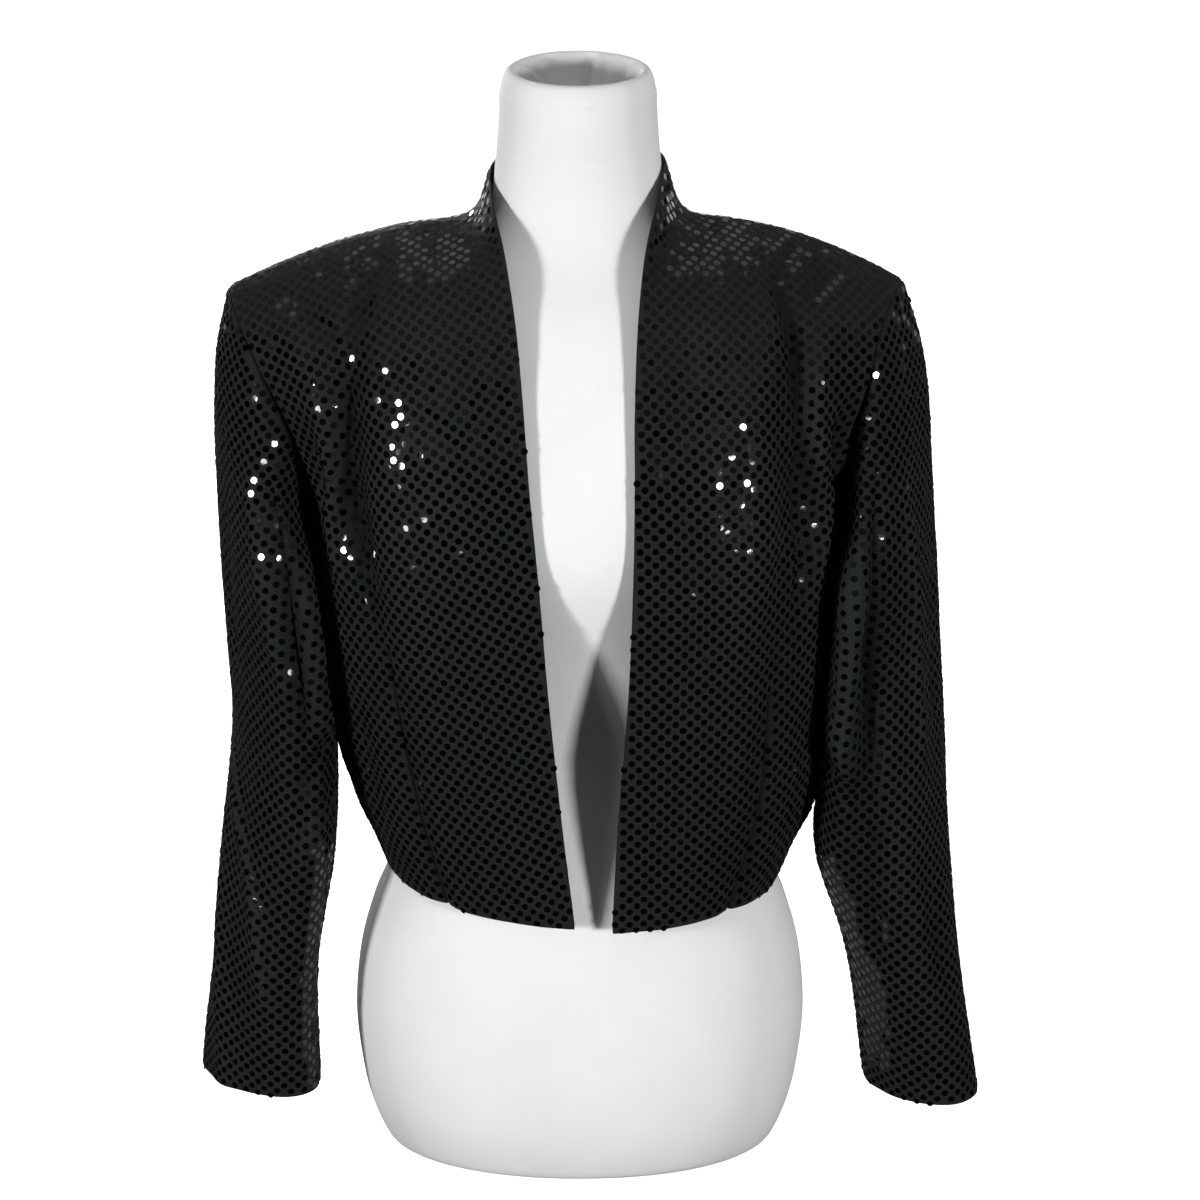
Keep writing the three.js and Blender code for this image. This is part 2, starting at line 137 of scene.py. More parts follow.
def add_mesh(name, points, faces, corner_uv):
    """A mesh object at the origin, from points in millimetres and a map of the cloth, in metres, at each corner."""
    mesh = bpy.data.meshes.new(name)
    mesh.from_pydata((np.asarray(points) * METRES).tolist(), [], [list(map(int, f)) for f in faces])
    cloth = mesh.uv_layers.new(name="cloth")
    cloth.data.foreach_set("uv", (np.asarray(corner_uv) * METRES).astype(np.float32).ravel())
    mesh.shade_smooth()
    mesh.set_sharp_from_angle(angle=SMOOTH_BELOW)
    mesh.validate()
    return linked(name, mesh)


def form_section(z, half_width, front, back, square, tilt):
    power = 2 / square

    def section(u):
        across, along = np.sin(2 * math.pi * u), -np.cos(2 * math.pi * u)
        y = np.where(along < 0, front, back) * np.sign(along) * np.abs(along) ** power
        return np.stack([half_width * np.sign(across) * np.abs(across) ** power, y, z + tilt * y], -1)

    return section


def make_form():
    surface = loft([form_section(*row) for row in FORM_SECTIONS])
    us = np.arange(FORM_COLUMNS) / FORM_COLUMNS
    last = len(FORM_SECTIONS) - 1
    vs = np.unique(np.round(np.concatenate([levels(last, FORM_ROWS_PER_SECTION), CLOSE_ROWS]), 4))
    points, normals = measure(surface, us, vs, 1)
    angle, depth = us[None, :] * 2 * math.pi, vs[:, None] - RIM_SECTION
    tucked = smooth(depth / TUCKS_RISE) * smooth((last - vs[:, None]) / TUCKS_FADE)
    out = np.zeros((len(vs), len(us)))
    for where, lean, width, height in NECK_TUCKS:
        away = (angle - where - lean * depth + math.pi) % (2 * math.pi) - math.pi
        out += height * np.exp(-((away / width) ** 2))
    off_crease = (points[..., 2] - NECK_CREASE["height"]) / NECK_CREASE["half height"]
    off_middle = (angle - NECK_CREASE["angle"]) / NECK_CREASE["half angle"]
    out = out * tucked - NECK_CREASE["depth"] * np.exp(-off_crease ** 2 - off_middle ** 2)
    past, left = vs[:, None] - LIP["place"], LIP["end"] - vs[:, None]
    out -= LIP["depth"] * smooth(past / LIP["rise"]) * smooth(left / LIP["fade"])
    points = points + normals * out[..., None]
    rows, columns = out.shape
    index = np.arange(rows * columns).reshape(rows, columns)
    faces = cells(np.hstack([index, index[:, :1]])).reshape(-1, 4)
    girth = 2 * math.pi * COVER_RADIUS * np.arange(columns + 1) / columns
    height = np.concatenate([[0], np.cumsum(np.linalg.norm(np.diff(points[:, 0], axis=0), axis=-1))])
    flat = np.stack(np.broadcast_arrays(girth[None, :], height[:, None]), -1)
    caps = [[*index[0, ::-1]], [*index[-1]]]
    corner_uv = np.vstack([cells(flat).reshape(-1, 2), flat[0, :-1], flat[-1, :-1]])
    return add_mesh("form_cover", points.reshape(-1, 3), [*faces.tolist(), *caps], corner_uv)


def add_node(tree, kind, inputs=None, **settings):
    """A node with its settings, and its inputs as values or as links from other nodes' sockets."""
    made = tree.nodes.new(kind)
    for name, value in settings.items():
        setattr(made, name, value)
    for name, value in (inputs or {}).items():
        if isinstance(value, bpy.types.NodeSocket):
            tree.links.new(value, made.inputs[name])
        else:
            made.inputs[name].default_value = value
    return made


def add_value(tree, kind, inputs=None, **settings):
    """The first output of a new node."""
    return add_node(tree, kind, inputs, **settings).outputs[0]


def add_sockets(tree, in_out, kind, *names):
    for name in names:
        tree.interface.new_socket(name, in_out=in_out, socket_type="NodeSocket" + kind)


def maths(tree, operation, a, b=0.0, c=0.0):
    return add_value(tree, "ShaderNodeMath", {0: a, 1: b, 2: c}, operation=operation)


LEG_SLANT, LOOP_SHARE, STITCH_HEIGHT = 1.3, 0.35, 0.0002


def knit_grain_group():
    """The fine V stitches of a knit, from the map of the cloth in metres: a height for the bump, and soft pilling."""
    tree = bpy.data.node_groups.new("knit grain", "ShaderNodeTree")
    add_sockets(tree, "INPUT", "Vector", "Cloth")
    add_sockets(tree, "INPUT", "Float", "Wales per metre", "Pill size")
    add_sockets(tree, "OUTPUT", "Float", "Height", "Pilling")
    given = tree.nodes.new("NodeGroupInput").outputs
    split = add_node(tree, "ShaderNodeSeparateXYZ", {0: given["Cloth"]})
    wale = maths(tree, "MULTIPLY", split.outputs[0], given["Wales per metre"])
    course = maths(tree, "MULTIPLY", split.outputs[1], given["Wales per metre"])
    slant = maths(tree, "PINGPONG", wale, 0.5)
    leg = maths(tree, "MULTIPLY_ADD", slant, LEG_SLANT, course)
    loops = maths(tree, "SINE", maths(tree, "MULTIPLY", leg, 2 * math.pi))
    rib = maths(tree, "ABSOLUTE", maths(tree, "SINE", maths(tree, "MULTIPLY", wale, math.pi)))
    height = maths(tree, "MULTIPLY_ADD", loops, LOOP_SHARE, rib)
    pills = add_value(tree, "ShaderNodeTexNoise", {
        "Vector": given["Cloth"], "Scale": given["Pill size"], "Detail": 3.0})
    leave = tree.nodes.new("NodeGroupOutput")
    tree.links.new(height, leave.inputs["Height"])
    tree.links.new(pills, leave.inputs["Pilling"])
    return tree


knit_grain = knit_grain_group()


def knit_finish(tree, shader, wales, pill_size, strength):
    """The grain of a knit with so many wales a metre, which also roughens the shader's surface."""
    grain = add_node(tree, "ShaderNodeGroup", node_tree=knit_grain)
    tree.links.new(add_value(tree, "ShaderNodeUVMap", uv_map="cloth"), grain.inputs["Cloth"])
    grain.inputs["Wales per metre"].default_value = wales
    grain.inputs["Pill size"].default_value = pill_size
    bump = add_value(tree, "ShaderNodeBump", {
        "Strength": strength, "Distance": STITCH_HEIGHT, "Height": grain.outputs["Height"]})
    tree.links.new(bump, shader.inputs["Normal"])
    return grain.outputs["Pilling"]


def blotches(tree, noise, low, high):
    """A tone that drifts over the piece between two colours, each given with its place on the ramp."""
    place = add_node(tree, "ShaderNodeTexCoord").outputs["Object"]
    cast = add_value(tree, "ShaderNodeTexNoise", {"Vector": place, **noise})
    tone = add_node(tree, "ShaderNodeValToRGB", {0: cast})
    for element, (position, colour) in zip(tone.color_ramp.elements, (low, high)):
        element.position, element.color = position, (*colour, 1)
    return tone.outputs[0]


def start_material(name, **constants):
    """A material with its shader, whose constant finish is set on the shader's own sockets."""
    material = bpy.data.materials.new(name)
    material.use_nodes = True
    shader = material.node_tree.nodes["Principled BSDF"]
    for socket, value in constants.items():
        shader.inputs[socket.replace("_", " ")].default_value = value
    return material, material.node_tree, shader


JERSEY_WALES, JERSEY_PILLS, JERSEY_RELIEF = 1100, 26, 0.35
JERSEY_CAST, JERSEY_ROUGH = {"Scale": 9.0, "Detail": 4.0, "Roughness": 0.6}, {3: 0.78, 4: 0.92}
SHADED_WHITE, CLEAN_WHITE = (0.25, (0.80, 0.80, 0.815)), (0.7, (0.87, 0.87, 0.885))


def jersey_material():
    material, tree, shader = start_material("jersey", Sheen_Weight=0.15, Sheen_Roughness=0.5, IOR=1.4)
    pilling = knit_finish(tree, shader, JERSEY_WALES, JERSEY_PILLS, JERSEY_RELIEF)
    tone = blotches(tree, JERSEY_CAST, SHADED_WHITE, CLEAN_WHITE)
    tree.links.new(tone, shader.inputs["Base Color"])
    rough = add_value(tree, "ShaderNodeMapRange", {0: pilling, **JERSEY_ROUGH})
    tree.links.new(rough, shader.inputs["Roughness"])
    return material


form_cover = make_form()
form_cover.data.materials.append(jersey_material())
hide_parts("dress_form")
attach(form_cover, "root")

# ------------------------------------------------
# The two fronts. Each is cut in one with its half of the stand collar from black knit that is dotted with sequins,
# shaped by a dart at the waist and one at the shoulder, and turned under along the free edge and the hem.
# A row for each level from the hem to the shoulder: where the free edge runs, and where the side seam or armhole runs.
# R and L are the wearer's sides. Sizes are in millimetres, with x outwards from the centre line.
FRONT_COLUMNS = ("edgeR", "edgeL", "edgeY", "edgeZR", "edgeZL", "sideR", "sideL", "sideY", "sideZR", "sideZL",
                 "round", "neck")
FRONT_LEVELS = [dict(zip(FRONT_COLUMNS, row)) for row in (
    (3, 24, -118, 211, 208, 142, 149, 4, 222, 214, 1.0, 0),
    (12, 28, -120, 290, 290, 167, 176, 4, 290, 290, 1.0, 0),
    (21, 35, -124, 385, 385, 185, 183, 4, 385, 385, 1.0, 0),
    (27, 38, -128, 465, 465, 190, 186, 4, 462, 462, 1.0, 0),
    (33, 39, -122, 530, 530, 189, 185, 6, 494, 494, 1.0, 0),
    (37, 39, -111, 583, 583, 196, 189, -38, 540, 542, 0.75, 0),
    (42, 41, -94, 636, 636, 215, 201, -46, 586, 589, 0.5, 0.1),
    (50, 46, -72, 681, 681, 231, 209, -38, 618, 622, 0.3, 0.4),
    (58.8, 55.3, -36, 711, 716, 241, 219, -18, 638, 643, 0.1, 0.9),
    (62.3, 60.5, 0, 727, 736, 245, 227, 2, 647, 652, 0, 1),
)]
STAND_SHARE, STAND_WIDTH = {"R": 0.39, "L": 0.45}, 0.035
PAD_POWER = {"R": 1.9, "L": 2.1}
ARMPIT_LEVEL, TOP_LEVEL = 4, 9
ROWS_PER_LEVEL = 16
CLOTH, RIM_ROUND = 1.3, 0.45
# Soft troughs and ridges that the solid panels have too: u, v, lean, half width in u, half length in v, height
FRONT_FOLDS = {
    "R": ((0.462, 0.6, 0, 0.045, 1.7, -3), (0.56, 4.3, 0.03, 0.07, 2.0, -6), (0.72, 4.6, 0.02, 0.08, 2.0, 4),
          (0.4, 4.0, 0, 0.14, 1.6, 8)),
    "L": ((0.462, 0.5, 0, 0.045, 1.6, -3), (0.52, 4.0, 0.02, 0.07, 2.2, -6), (0.82, 2.6, 0, 0.07, 1.8, -5),
          (0.68, 3.6, 0.01, 0.08, 2.2, 4), (0.38, 4.0, 0, 0.14, 1.6, 8)),
}
# Creases: a path of (u, v), half width and height in millimetres, and skew, from -1 to 1, to which side it is steeper
FRONT_CREASES = {
    "R": (
        (((0.36, 8.2), (0.50, 6.9), (0.58, 5.6), (0.615, 4.2), (0.53, 3.0), (0.485, 2.1)), 9, -7.5, 0.4),
        (((0.66, 6.2), (0.69, 4.8), (0.68, 3.6), (0.60, 2.6)), 10, 4.9, -0.3),
        (((0.78, 5.6), (0.76, 4.6), (0.74, 3.6), (0.70, 2.6)), 8, -5.6, 0.2),
        (((0.92, 5.2), (0.92, 4.4), (0.92, 3.4), (0.91, 2.5), (0.88, 1.7), (0.85, 1.0)), 12, 6.0, 0.2),
        (((0.80, 7.8), (0.70, 7.1), (0.62, 6.3)), 9, -3.4, 0.2),
        (((0.235, 8.96), (0.237, 8.2), (0.237, 7.3)), 2.2, -1.3, 0.0),
        (((0.30, 6.6), (0.28, 5.0), (0.24, 3.4)), 16, 3.0, 0.0),
        (((0.62, 1.9), (0.66, 1.2), (0.68, 0.5)), 9, -3.0, 0.1),
        (((0.84, 1.8), (0.86, 1.1), (0.86, 0.4)), 8, 2.9, 0.0),
    ),
    "L": (
        (((0.42, 8.0), (0.50, 7.0), (0.56, 6.0), (0.585, 4.6), (0.58, 3.2), (0.53, 2.2)), 8, -7.2, -0.4),
        (((0.66, 6.6), (0.68, 5.2), (0.67, 3.8), (0.62, 2.6)), 10, 4.5, 0.3),
        (((0.84, 5.8), (0.83, 4.8), (0.81, 3.8), (0.79, 2.8), (0.76, 1.8)), 8, -7.5, -0.3),
        (((0.93, 5.2), (0.93, 4.4), (0.93, 3.4), (0.91, 2.5), (0.88, 1.8)), 12, 5.0, 0.2),
        (((0.73, 5.2), (0.73, 4.2), (0.71, 3.2)), 8, 4.5, 0.2),
        (((0.74, 8.3), (0.68, 7.6), (0.64, 6.8)), 8, -3.8, 0.1),
        (((0.56, 8.5), (0.52, 7.9), (0.50, 7.2)), 6, -3.0, 0.1),
        (((0.195, 8.96), (0.194, 8.2), (0.194, 7.3)), 2.2, -1.3, 0.0),
        (((0.26, 6.8), (0.26, 5.2), (0.22, 3.6)), 15, 2.9, 0.0),
        (((0.64, 1.8), (0.67, 1.1), (0.69, 0.4)), 9, -2.9, -0.1),
        (((0.88, 1.5), (0.89, 0.9), (0.89, 0.3)), 8, 2.6, 0.0),
    ),
}
WAIST_DART = {"R": 0.462, "L": 0.478}
WAIST_DART_TOP = {"R": 2.3, "L": 1.9}


def shoulder_fall(u, neck, stand, side):
    outline = (1 - stand) * (1 - np.maximum(0, u) ** PAD_POWER[side]) + stand * np.exp(-u / STAND_WIDTH)
    return mix(1 - u, outline, neck)


def front_section(level, side):
    def section(u):
        turn = u * math.pi / 2
        fall = shoulder_fall(u, level["neck"], STAND_SHARE[side], side)
        return np.stack([
            mix(level["edge" + side], level["side" + side], mix(u, np.sin(turn), level["round"])),
            mix(level["edgeY"], level["sideY"], mix(u, 1 - np.cos(turn), level["round"])),
            mix(level["sideZ" + side], level["edgeZ" + side], fall),
        ], -1)

    return section


def fold_heights(us, vs, folds, pinned, wraps=False):
    out = np.zeros((len(vs), len(us)))
    for where_u, where_v, lean, width, length, height in folds:
        away = us[None, :] - where_u - lean * (vs[:, None] - where_v)
        if wraps:
            away = away - np.round(away)
        out += height * np.exp(-((away / width) ** 2) - ((vs[:, None] - where_v) / length) ** 2)
    return out * pinned


def along_curve(values, places):
    """Smooth values between evenly numbered rows of an array, at any places among them."""
    padded = np.concatenate([2 * values[:1] - values[1:2], values, 2 * values[-1:] - values[-2:-1]])
    k = np.clip(np.floor(places).astype(int), 0, len(values) - 2)
    t = (places - k).reshape((-1,) + (1,) * (values.ndim - 1))
    return catmull(padded[k], padded[k + 1], padded[k + 2], padded[k + 3], t)


PRESSES, PRESS_GAIN = 2500, 1.5


def lay_flat(points, grain_column, grain_rows):
    """The flat cut of a panel: a coarse grid of its points is pressed flat, with all its lengths kept as they are."""
    rows, columns = points.shape[:2]
    reach = np.linalg.norm(np.diff(points, axis=1), axis=-1)
    across = np.hstack([np.zeros((rows, 1)), np.cumsum(reach, axis=1)])
    across -= across[:, grain_column:grain_column + 1]
    rise = np.concatenate([[0], np.cumsum(np.linalg.norm(np.diff(points[:, grain_column], axis=0), axis=-1))])
    flat = np.stack([across, np.repeat(rise[:, None], columns, 1)], -1)
    whole, head, tail = slice(None), slice(None, -1), slice(1, None)
    ties = []
    for a, b in (((whole, head), (whole, tail)), ((head, whole), (tail, whole)),
                 ((head, head), (tail, tail)), ((tail, head), (head, tail))):
        ties.append((a, b, np.linalg.norm(points[b] - points[a], axis=-1, keepdims=True)))
    count = np.zeros((rows, columns, 1))
    for a, b, _ in ties:
        count[a] += 1
        count[b] += 1
    for _ in range(PRESSES):
        shift = np.zeros_like(flat)
        for a, b, length in ties:
            reach = flat[b] - flat[a]
            pull = 0.5 * reach * (1 - length / np.linalg.norm(reach, axis=-1, keepdims=True))
            shift[a] += pull
            shift[b] -= pull
        flat += PRESS_GAIN * shift / count
    low, high = grain_rows
    grain = flat[high, grain_column] - flat[low, grain_column]
    turn = math.atan2(grain[0], grain[1])
    c, s = math.cos(turn), math.sin(turn)
    return np.stack([flat[..., 0] * c - flat[..., 1] * s, flat[..., 0] * s + flat[..., 1] * c], -1)


# How a crease's height goes up and down along it, as shares and turns, and how far it fades in and out at its ends
UNEVEN = ((0.22, 11, 1.0), (0.1, 27, 2.3))
FADE_IN, FADE_OUT, STEPS_PER_POINT = 0.22, 0.25, 5


def crease_heights(flat, line, width, height, skew, seed):
    """A trough or ridge along a line on the flat cut, as uneven as real cloth, that fades out at both ends."""
    line = along_curve(line, np.linspace(0, len(line) - 1, STEPS_PER_POINT * len(line)))
    nearest = np.full(flat.shape[:2], FAR)
    profile = np.zeros(flat.shape[:2])
    for k in range(len(line) - 1):
        step = line[k + 1] - line[k]
        from_start = flat - line[k]
        t = np.clip((from_start @ step) / (step @ step), 0, 1)
        offset = from_start - t[..., None] * step
        distance = np.linalg.norm(offset, axis=-1)
        side = np.sign(offset[..., 0] * step[1] - offset[..., 1] * step[0])
        along = (k + t) / (len(line) - 1)
        uneven = 1 + sum(share * np.sin(turns * along + shift * seed) for share, turns, shift in UNEVEN)
        fade = smooth(along / FADE_IN) * smooth((1 - along) / FADE_OUT)
        shape = height * uneven * fade * np.exp(-((distance / (width * (1 + skew * side))) ** 2))
        closer = distance < nearest
        profile = np.where(closer, shape, profile)
        nearest = np.where(closer, distance, nearest)
    return profile


RIPPLE_LENGTHS, RIPPLE_LEAN, RIPPLE_STRETCH = (24, 33, 46, 61, 88), 0.9, 0.5


def ripple(flat, height, seed):
    """The faint unevenness of loose knit: a few long soft waves across the cut."""
    draw = np.random.default_rng(seed)
    out = np.zeros(flat.shape[:2])
    for length in RIPPLE_LENGTHS:
        angle, phase = draw.uniform(-RIPPLE_LEAN, RIPPLE_LEAN), draw.uniform(0, 2 * math.pi)
        across = flat[..., 0] * math.cos(angle) + flat[..., 1] * math.sin(angle) * RIPPLE_STRETCH
        out += np.sin(2 * math.pi * across / length + phase) / len(RIPPLE_LENGTHS)
    return out * height


def distance_to(flat, line):
    nearest = np.full(flat.shape[:2], FAR)
    for start, end in zip(line[:-1], line[1:]):
        step = end - start
        t = np.clip(((flat - start) @ step) / max(step @ step, 1e-9), 0, 1)
        nearest = np.minimum(nearest, np.linalg.norm(flat - start - t[..., None] * step, axis=-1))
    return nearest


class Panel:
    """A cut piece of cloth on the form: its outer points, outward normals, flat cut, and room for sequins.

    The coarse grid is for pressing it flat. out is how far the creases and seams move each point along its normal."""

    def __init__(self, surface, us, vs, coarse_us, coarse_vs, facing, folds, pin, wraps, grain):
        def folded(us, vs):
            points, normals = measure(surface, us, vs, facing)
            relief = fold_heights(us, vs, folds, pin(us[None, :], vs[:, None]), wraps)
            return points + normals * relief[..., None], normals, relief

        self.us, self.vs, self.coarse_us, self.coarse_vs = us, vs, coarse_us, coarse_vs
        self.points, self.normals, self.relief = folded(us, vs)
        self.coarse = lay_flat(folded(coarse_us, coarse_vs)[0], *grain)
        self.flat = self.cut_at(us, vs)
        self.out = np.zeros(self.points.shape[:2])
        self.room = np.full(self.points.shape[:2], FAR)

    def cut_at(self, us, vs):
        rows = along_curve(self.coarse, np.interp(vs, self.coarse_vs, np.arange(len(self.coarse_vs))))
        places = np.interp(us, self.coarse_us, np.arange(len(self.coarse_us)))
        return along_curve(rows.swapaxes(0, 1), places).swapaxes(0, 1)

    def crease(self, creases, seed):
        for number, (path, width, height, skew) in enumerate(creases):
            line = np.array([self.cut_at(np.array([u]), np.array([v]))[0, 0] for u, v in path])
            self.out += crease_heights(self.flat, line, width, height, skew, seed + number)

    def groove(self, line, width, depth, clear):
        """A seam or a pressed edge, drawn in along a row of points of the cut. clear is the bare margin beside it."""
        away = distance_to(self.flat, line)
        self.out -= depth * np.exp(-((away / width) ** 2))
        self.room = np.minimum(self.room, away - clear)


def stepped(count):
    """Places from 0 to 1, closer together near 0, where the free edge is."""
    t = np.linspace(0, 1, count + 1)
    return mix(t, t * t, 0.5)


def with_extra(values, extra):
    return np.unique(np.round(np.concatenate([values, extra]), 6))


# Folds and ripples fade out at seams: over a share of u at the sides and the middle of the back, and over levels
SIDE_FADE, MIDDLE_FADE, HEAD_FADE, HEAD_RIPPLE_FADE = 0.15, 0.1, 1.5, 1.2


def front_pin(u, v):
    return smooth((1 - u) / SIDE_FADE) * smooth((TOP_LEVEL - v) / HEAD_FADE)


COARSE_ROWS = 4
panel_vs, coarse_panel_vs = levels(TOP_LEVEL, ROWS_PER_LEVEL), levels(TOP_LEVEL, COARSE_ROWS)
# How many columns each fine and coarse grid has, with those of the back's neck before those of its shoulder
FRONT_STEPS, COARSE_FRONT_STEPS, BACK_STEPS, COARSE_BACK_STEPS, COARSE_SLEEVE_STEPS = 52, 14, (14, 44), (4, 12), 24
# The straight grain on each coarse grid: its column, and the rows that it runs between
FRONT_GRAIN, BACK_GRAIN, SLEEVE_GRAIN = (0, (0, 20)), (16, (0, 36)), (12, (28, 4))
ACROSS = {"R": -1, "L": 1}
SEAM_COLUMNS, DART_COLUMNS = np.array([0.986, 0.996]), np.array([-0.014, -0.004, 0, 0.004, 0.014])
fronts = {}
for side, across in ACROSS.items():
    half = loft([front_section(level, side) for level in FRONT_LEVELS], ARMPIT_LEVEL)
    dart = WAIST_DART[side]
    fronts[side] = Panel(
        lambda u, v, half=half, across=across: half(u, v) * np.array([across, 1, 1]),
        with_extra(stepped(FRONT_STEPS), np.concatenate([SEAM_COLUMNS, dart + DART_COLUMNS])), panel_vs,
        stepped(COARSE_FRONT_STEPS), coarse_panel_vs, across, FRONT_FOLDS[side], front_pin, False, FRONT_GRAIN)

# ------------------------------------------------
# The back. One piece of the same knit from side seam to side seam, with its half of the stand collar round the back of
# the neck. It is sewn to the fronts at the sides and the shoulders, and its hem is turned under.
# Level by level with the fronts: the centre, the side seam or armhole, and the corner where the stand turns away.
# What a row leaves out is 0.
BACK_COLUMNS = ("centreY", "centreZ", "armR", "armL", "armY", "armZR", "armZL", "round", "neck",
                "cornerXR", "cornerXL", "cornerY", "cornerZR", "cornerZL", "stand")
BACK_LEVELS = [dict(zip(BACK_COLUMNS, (*row, *[0] * len(BACK_COLUMNS)))) for row in (
    (97, 214, 142, 149, 4, 222, 214, 1.0),
    (90, 290, 167, 176, 4, 290, 290, 1.0),
    (99, 385, 185, 183, 4, 385, 385, 1.0),
    (108, 465, 190, 186, 4, 462, 462, 1.0),
    (113, 530, 189, 185, 6, 494, 494, 1.0),
    (113, 583, 190, 184, 50, 546, 548, 0.8),
    (107, 634, 205, 195, 58, 592, 595, 0.55),
    (94, 676, 225, 207, 46, 622, 626, 0.35, 0.6, 84, 84, 56, 684, 684, 0),
    (77, 706, 240, 219, 24, 641, 646, 0.2, 1, 69.5, 69, 20, 703, 705, 0.44),
    (66, 742, 245, 227, 2, 647, 652, 0, 1, 62.3, 60.5, 0, 727, 736, 1),
)]
BACK_NECK_SHARE = 0.28
BACK_FOLDS = {
    "R": ((0.72, 3.6, 0.02, 0.08, 2.4, -5), (0.35, 2.0, 0, 0.12, 1.6, -3)),
    "L": ((0.68, 3.2, 0.03, 0.08, 2.2, -5), (0.38, 1.6, 0, 0.12, 1.6, -3)),
}
# Creases of the back: u runs from -1 at the wearer's left side seam to 1 at the right one
BACK_CREASES = (
    (((-0.90, 5.2), (-0.86, 4.2), (-0.80, 3.2), (-0.76, 2.2)), 8, -4.9, 0.3),
    (((-0.60, 6.2), (-0.62, 4.8), (-0.58, 3.4), (-0.50, 2.2)), 10, 4.0, -0.2),
    (((0.88, 5.4), (0.85, 4.4), (0.80, 3.3), (0.74, 2.3)), 8, -5.3, -0.3),
    (((0.58, 6.4), (0.62, 5.0), (0.60, 3.6), (0.54, 2.4)), 10, 3.7, 0.2),
    (((-0.22, 4.6), (-0.24, 3.4), (-0.20, 2.2)), 12, -2.8, 0.1),
    (((0.20, 5.0), (0.24, 3.8), (0.22, 2.6)), 12, -2.5, -0.1),
    (((-0.30, 8.4), (-0.10, 8.1), (0.10, 8.1), (0.30, 8.4)), 7, -2.3, 0.2),
    (((-0.75, 8.1), (-0.68, 7.4), (-0.66, 6.6)), 9, -2.8, 0.1),
    (((0.77, 8.2), (0.70, 7.5), (0.67, 6.7)), 9, -3.1, -0.1),
    (((-0.62, 1.7), (-0.66, 1.0), (-0.68, 0.3)), 9, -2.3, 0.1),
    (((0.60, 1.8), (0.66, 1.1), (0.67, 0.4)), 9, -2.5, 0.0),
)


def back_section(level, side):
    arm_x, arm_z = level["arm" + side], level["armZ" + side]
    corner_x, corner_z = level["cornerX" + side], level["cornerZ" + side]

    def body(u):
        turn = u * math.pi / 2
        return np.stack([
            arm_x * mix(u, np.sin(turn), level["round"]),
            mix(level["centreY"], level["armY"], mix(u, 1 - np.cos(turn), level["round"])),
            mix(level["centreZ"], arm_z, u),
        ], -1)

    def neck(u):
        turn = u / BACK_NECK_SHARE * math.pi / 2
        return np.stack([
            corner_x * np.sin(turn),
            mix(level["cornerY"], level["centreY"], np.cos(turn)),
            mix(corner_z, level["centreZ"], np.cos(turn)),
        ], -1)

    def shoulder(u):
        along = (u - BACK_NECK_SHARE) / (1 - BACK_NECK_SHARE)
        fall = shoulder_fall(along, 1, level["stand"] * STAND_SHARE[side], side)
        return np.stack([
            mix(corner_x, arm_x, along),
            mix(level["cornerY"], level["armY"], along),
            mix(arm_z, corner_z, fall),
        ], -1)

    def section(u):
        yoke = np.where((u < BACK_NECK_SHARE)[:, None], neck(u), shoulder(u))
        return mix(body(u), yoke, level["neck"])

    return section


def back_pin(u, v):
    return front_pin(np.abs(u), v) * smooth(np.abs(u) / MIDDLE_FADE)


back_surfaces = {side: loft([back_section(level, side) for level in BACK_LEVELS], ARMPIT_LEVEL) for side in ACROSS}


def back_surface(u, v):
    """The whole back, from u -1 at the wearer's left to 1 at the right."""
    left = back_surfaces["L"](-u, v)
    right = back_surfaces["R"](u, v) * np.array([-1, 1, 1])
    return np.where((u < 0)[:, None], left, right)


def half_columns(neck_steps, steps):
    yoke = np.linspace(0, BACK_NECK_SHARE, neck_steps + 1)[:-1]
    return np.concatenate([yoke, mix(BACK_NECK_SHARE, 1, stepped(steps))])


def both_ways(us):
    return np.concatenate([-us[:0:-1], us])


back_us = with_extra(half_columns(*BACK_STEPS), SEAM_COLUMNS)
back_folds = tuple((-u, v, -lean, w, n, h) for u, v, lean, w, n, h in BACK_FOLDS["L"]) + BACK_FOLDS["R"]
back = Panel(back_surface, both_ways(back_us), panel_vs, both_ways(half_columns(*COARSE_BACK_STEPS)),
             coarse_panel_vs, 1, back_folds, back_pin, False, BACK_GRAIN)

# ------------------------------------------------
# The sleeves. Long, set in, and each cut in one with a single seam under the arm. The cap stands out over the end of
# the shoulder pad, the elbow keeps the bend of an arm, and the cuff's edge is turned under.
# A ring a row: height, inner and outer reach from the centre line, middle and half of its depth, and its skew.
SLEEVE_RINGS = {
    "R": ((452, 186, 262, 2, 80, 38), (380, 179, 259, -2, 76, 38), (310, 172, 254.5, -8, 70, 30),
          (238, 177, 260, -16, 62, 24), (152, 191, 271, -22, 54, 24), (58, 191.5, 283, -25, 46, 26)),
    "L": ((452, 182, 260, 2, 80, 38), (380, 177, 264.5, -2, 76, 38), (310, 173, 268, -7, 68, 28),
          (238, 171, 271, -12, 60, 12), (152, 196, 279.5, -18, 52, -4), (49, 211.5, 295.5, -22, 44, -16)),
}
CAP_SHARE, CAP_SWELL, UNDERARM_EASE = 0.35, 8, 5
SEAM_PSI, CUFF_LEVEL, SLEEVE_EDGE_ROWS = (-0.25, 0.75), 7, (0.02, 6.985)
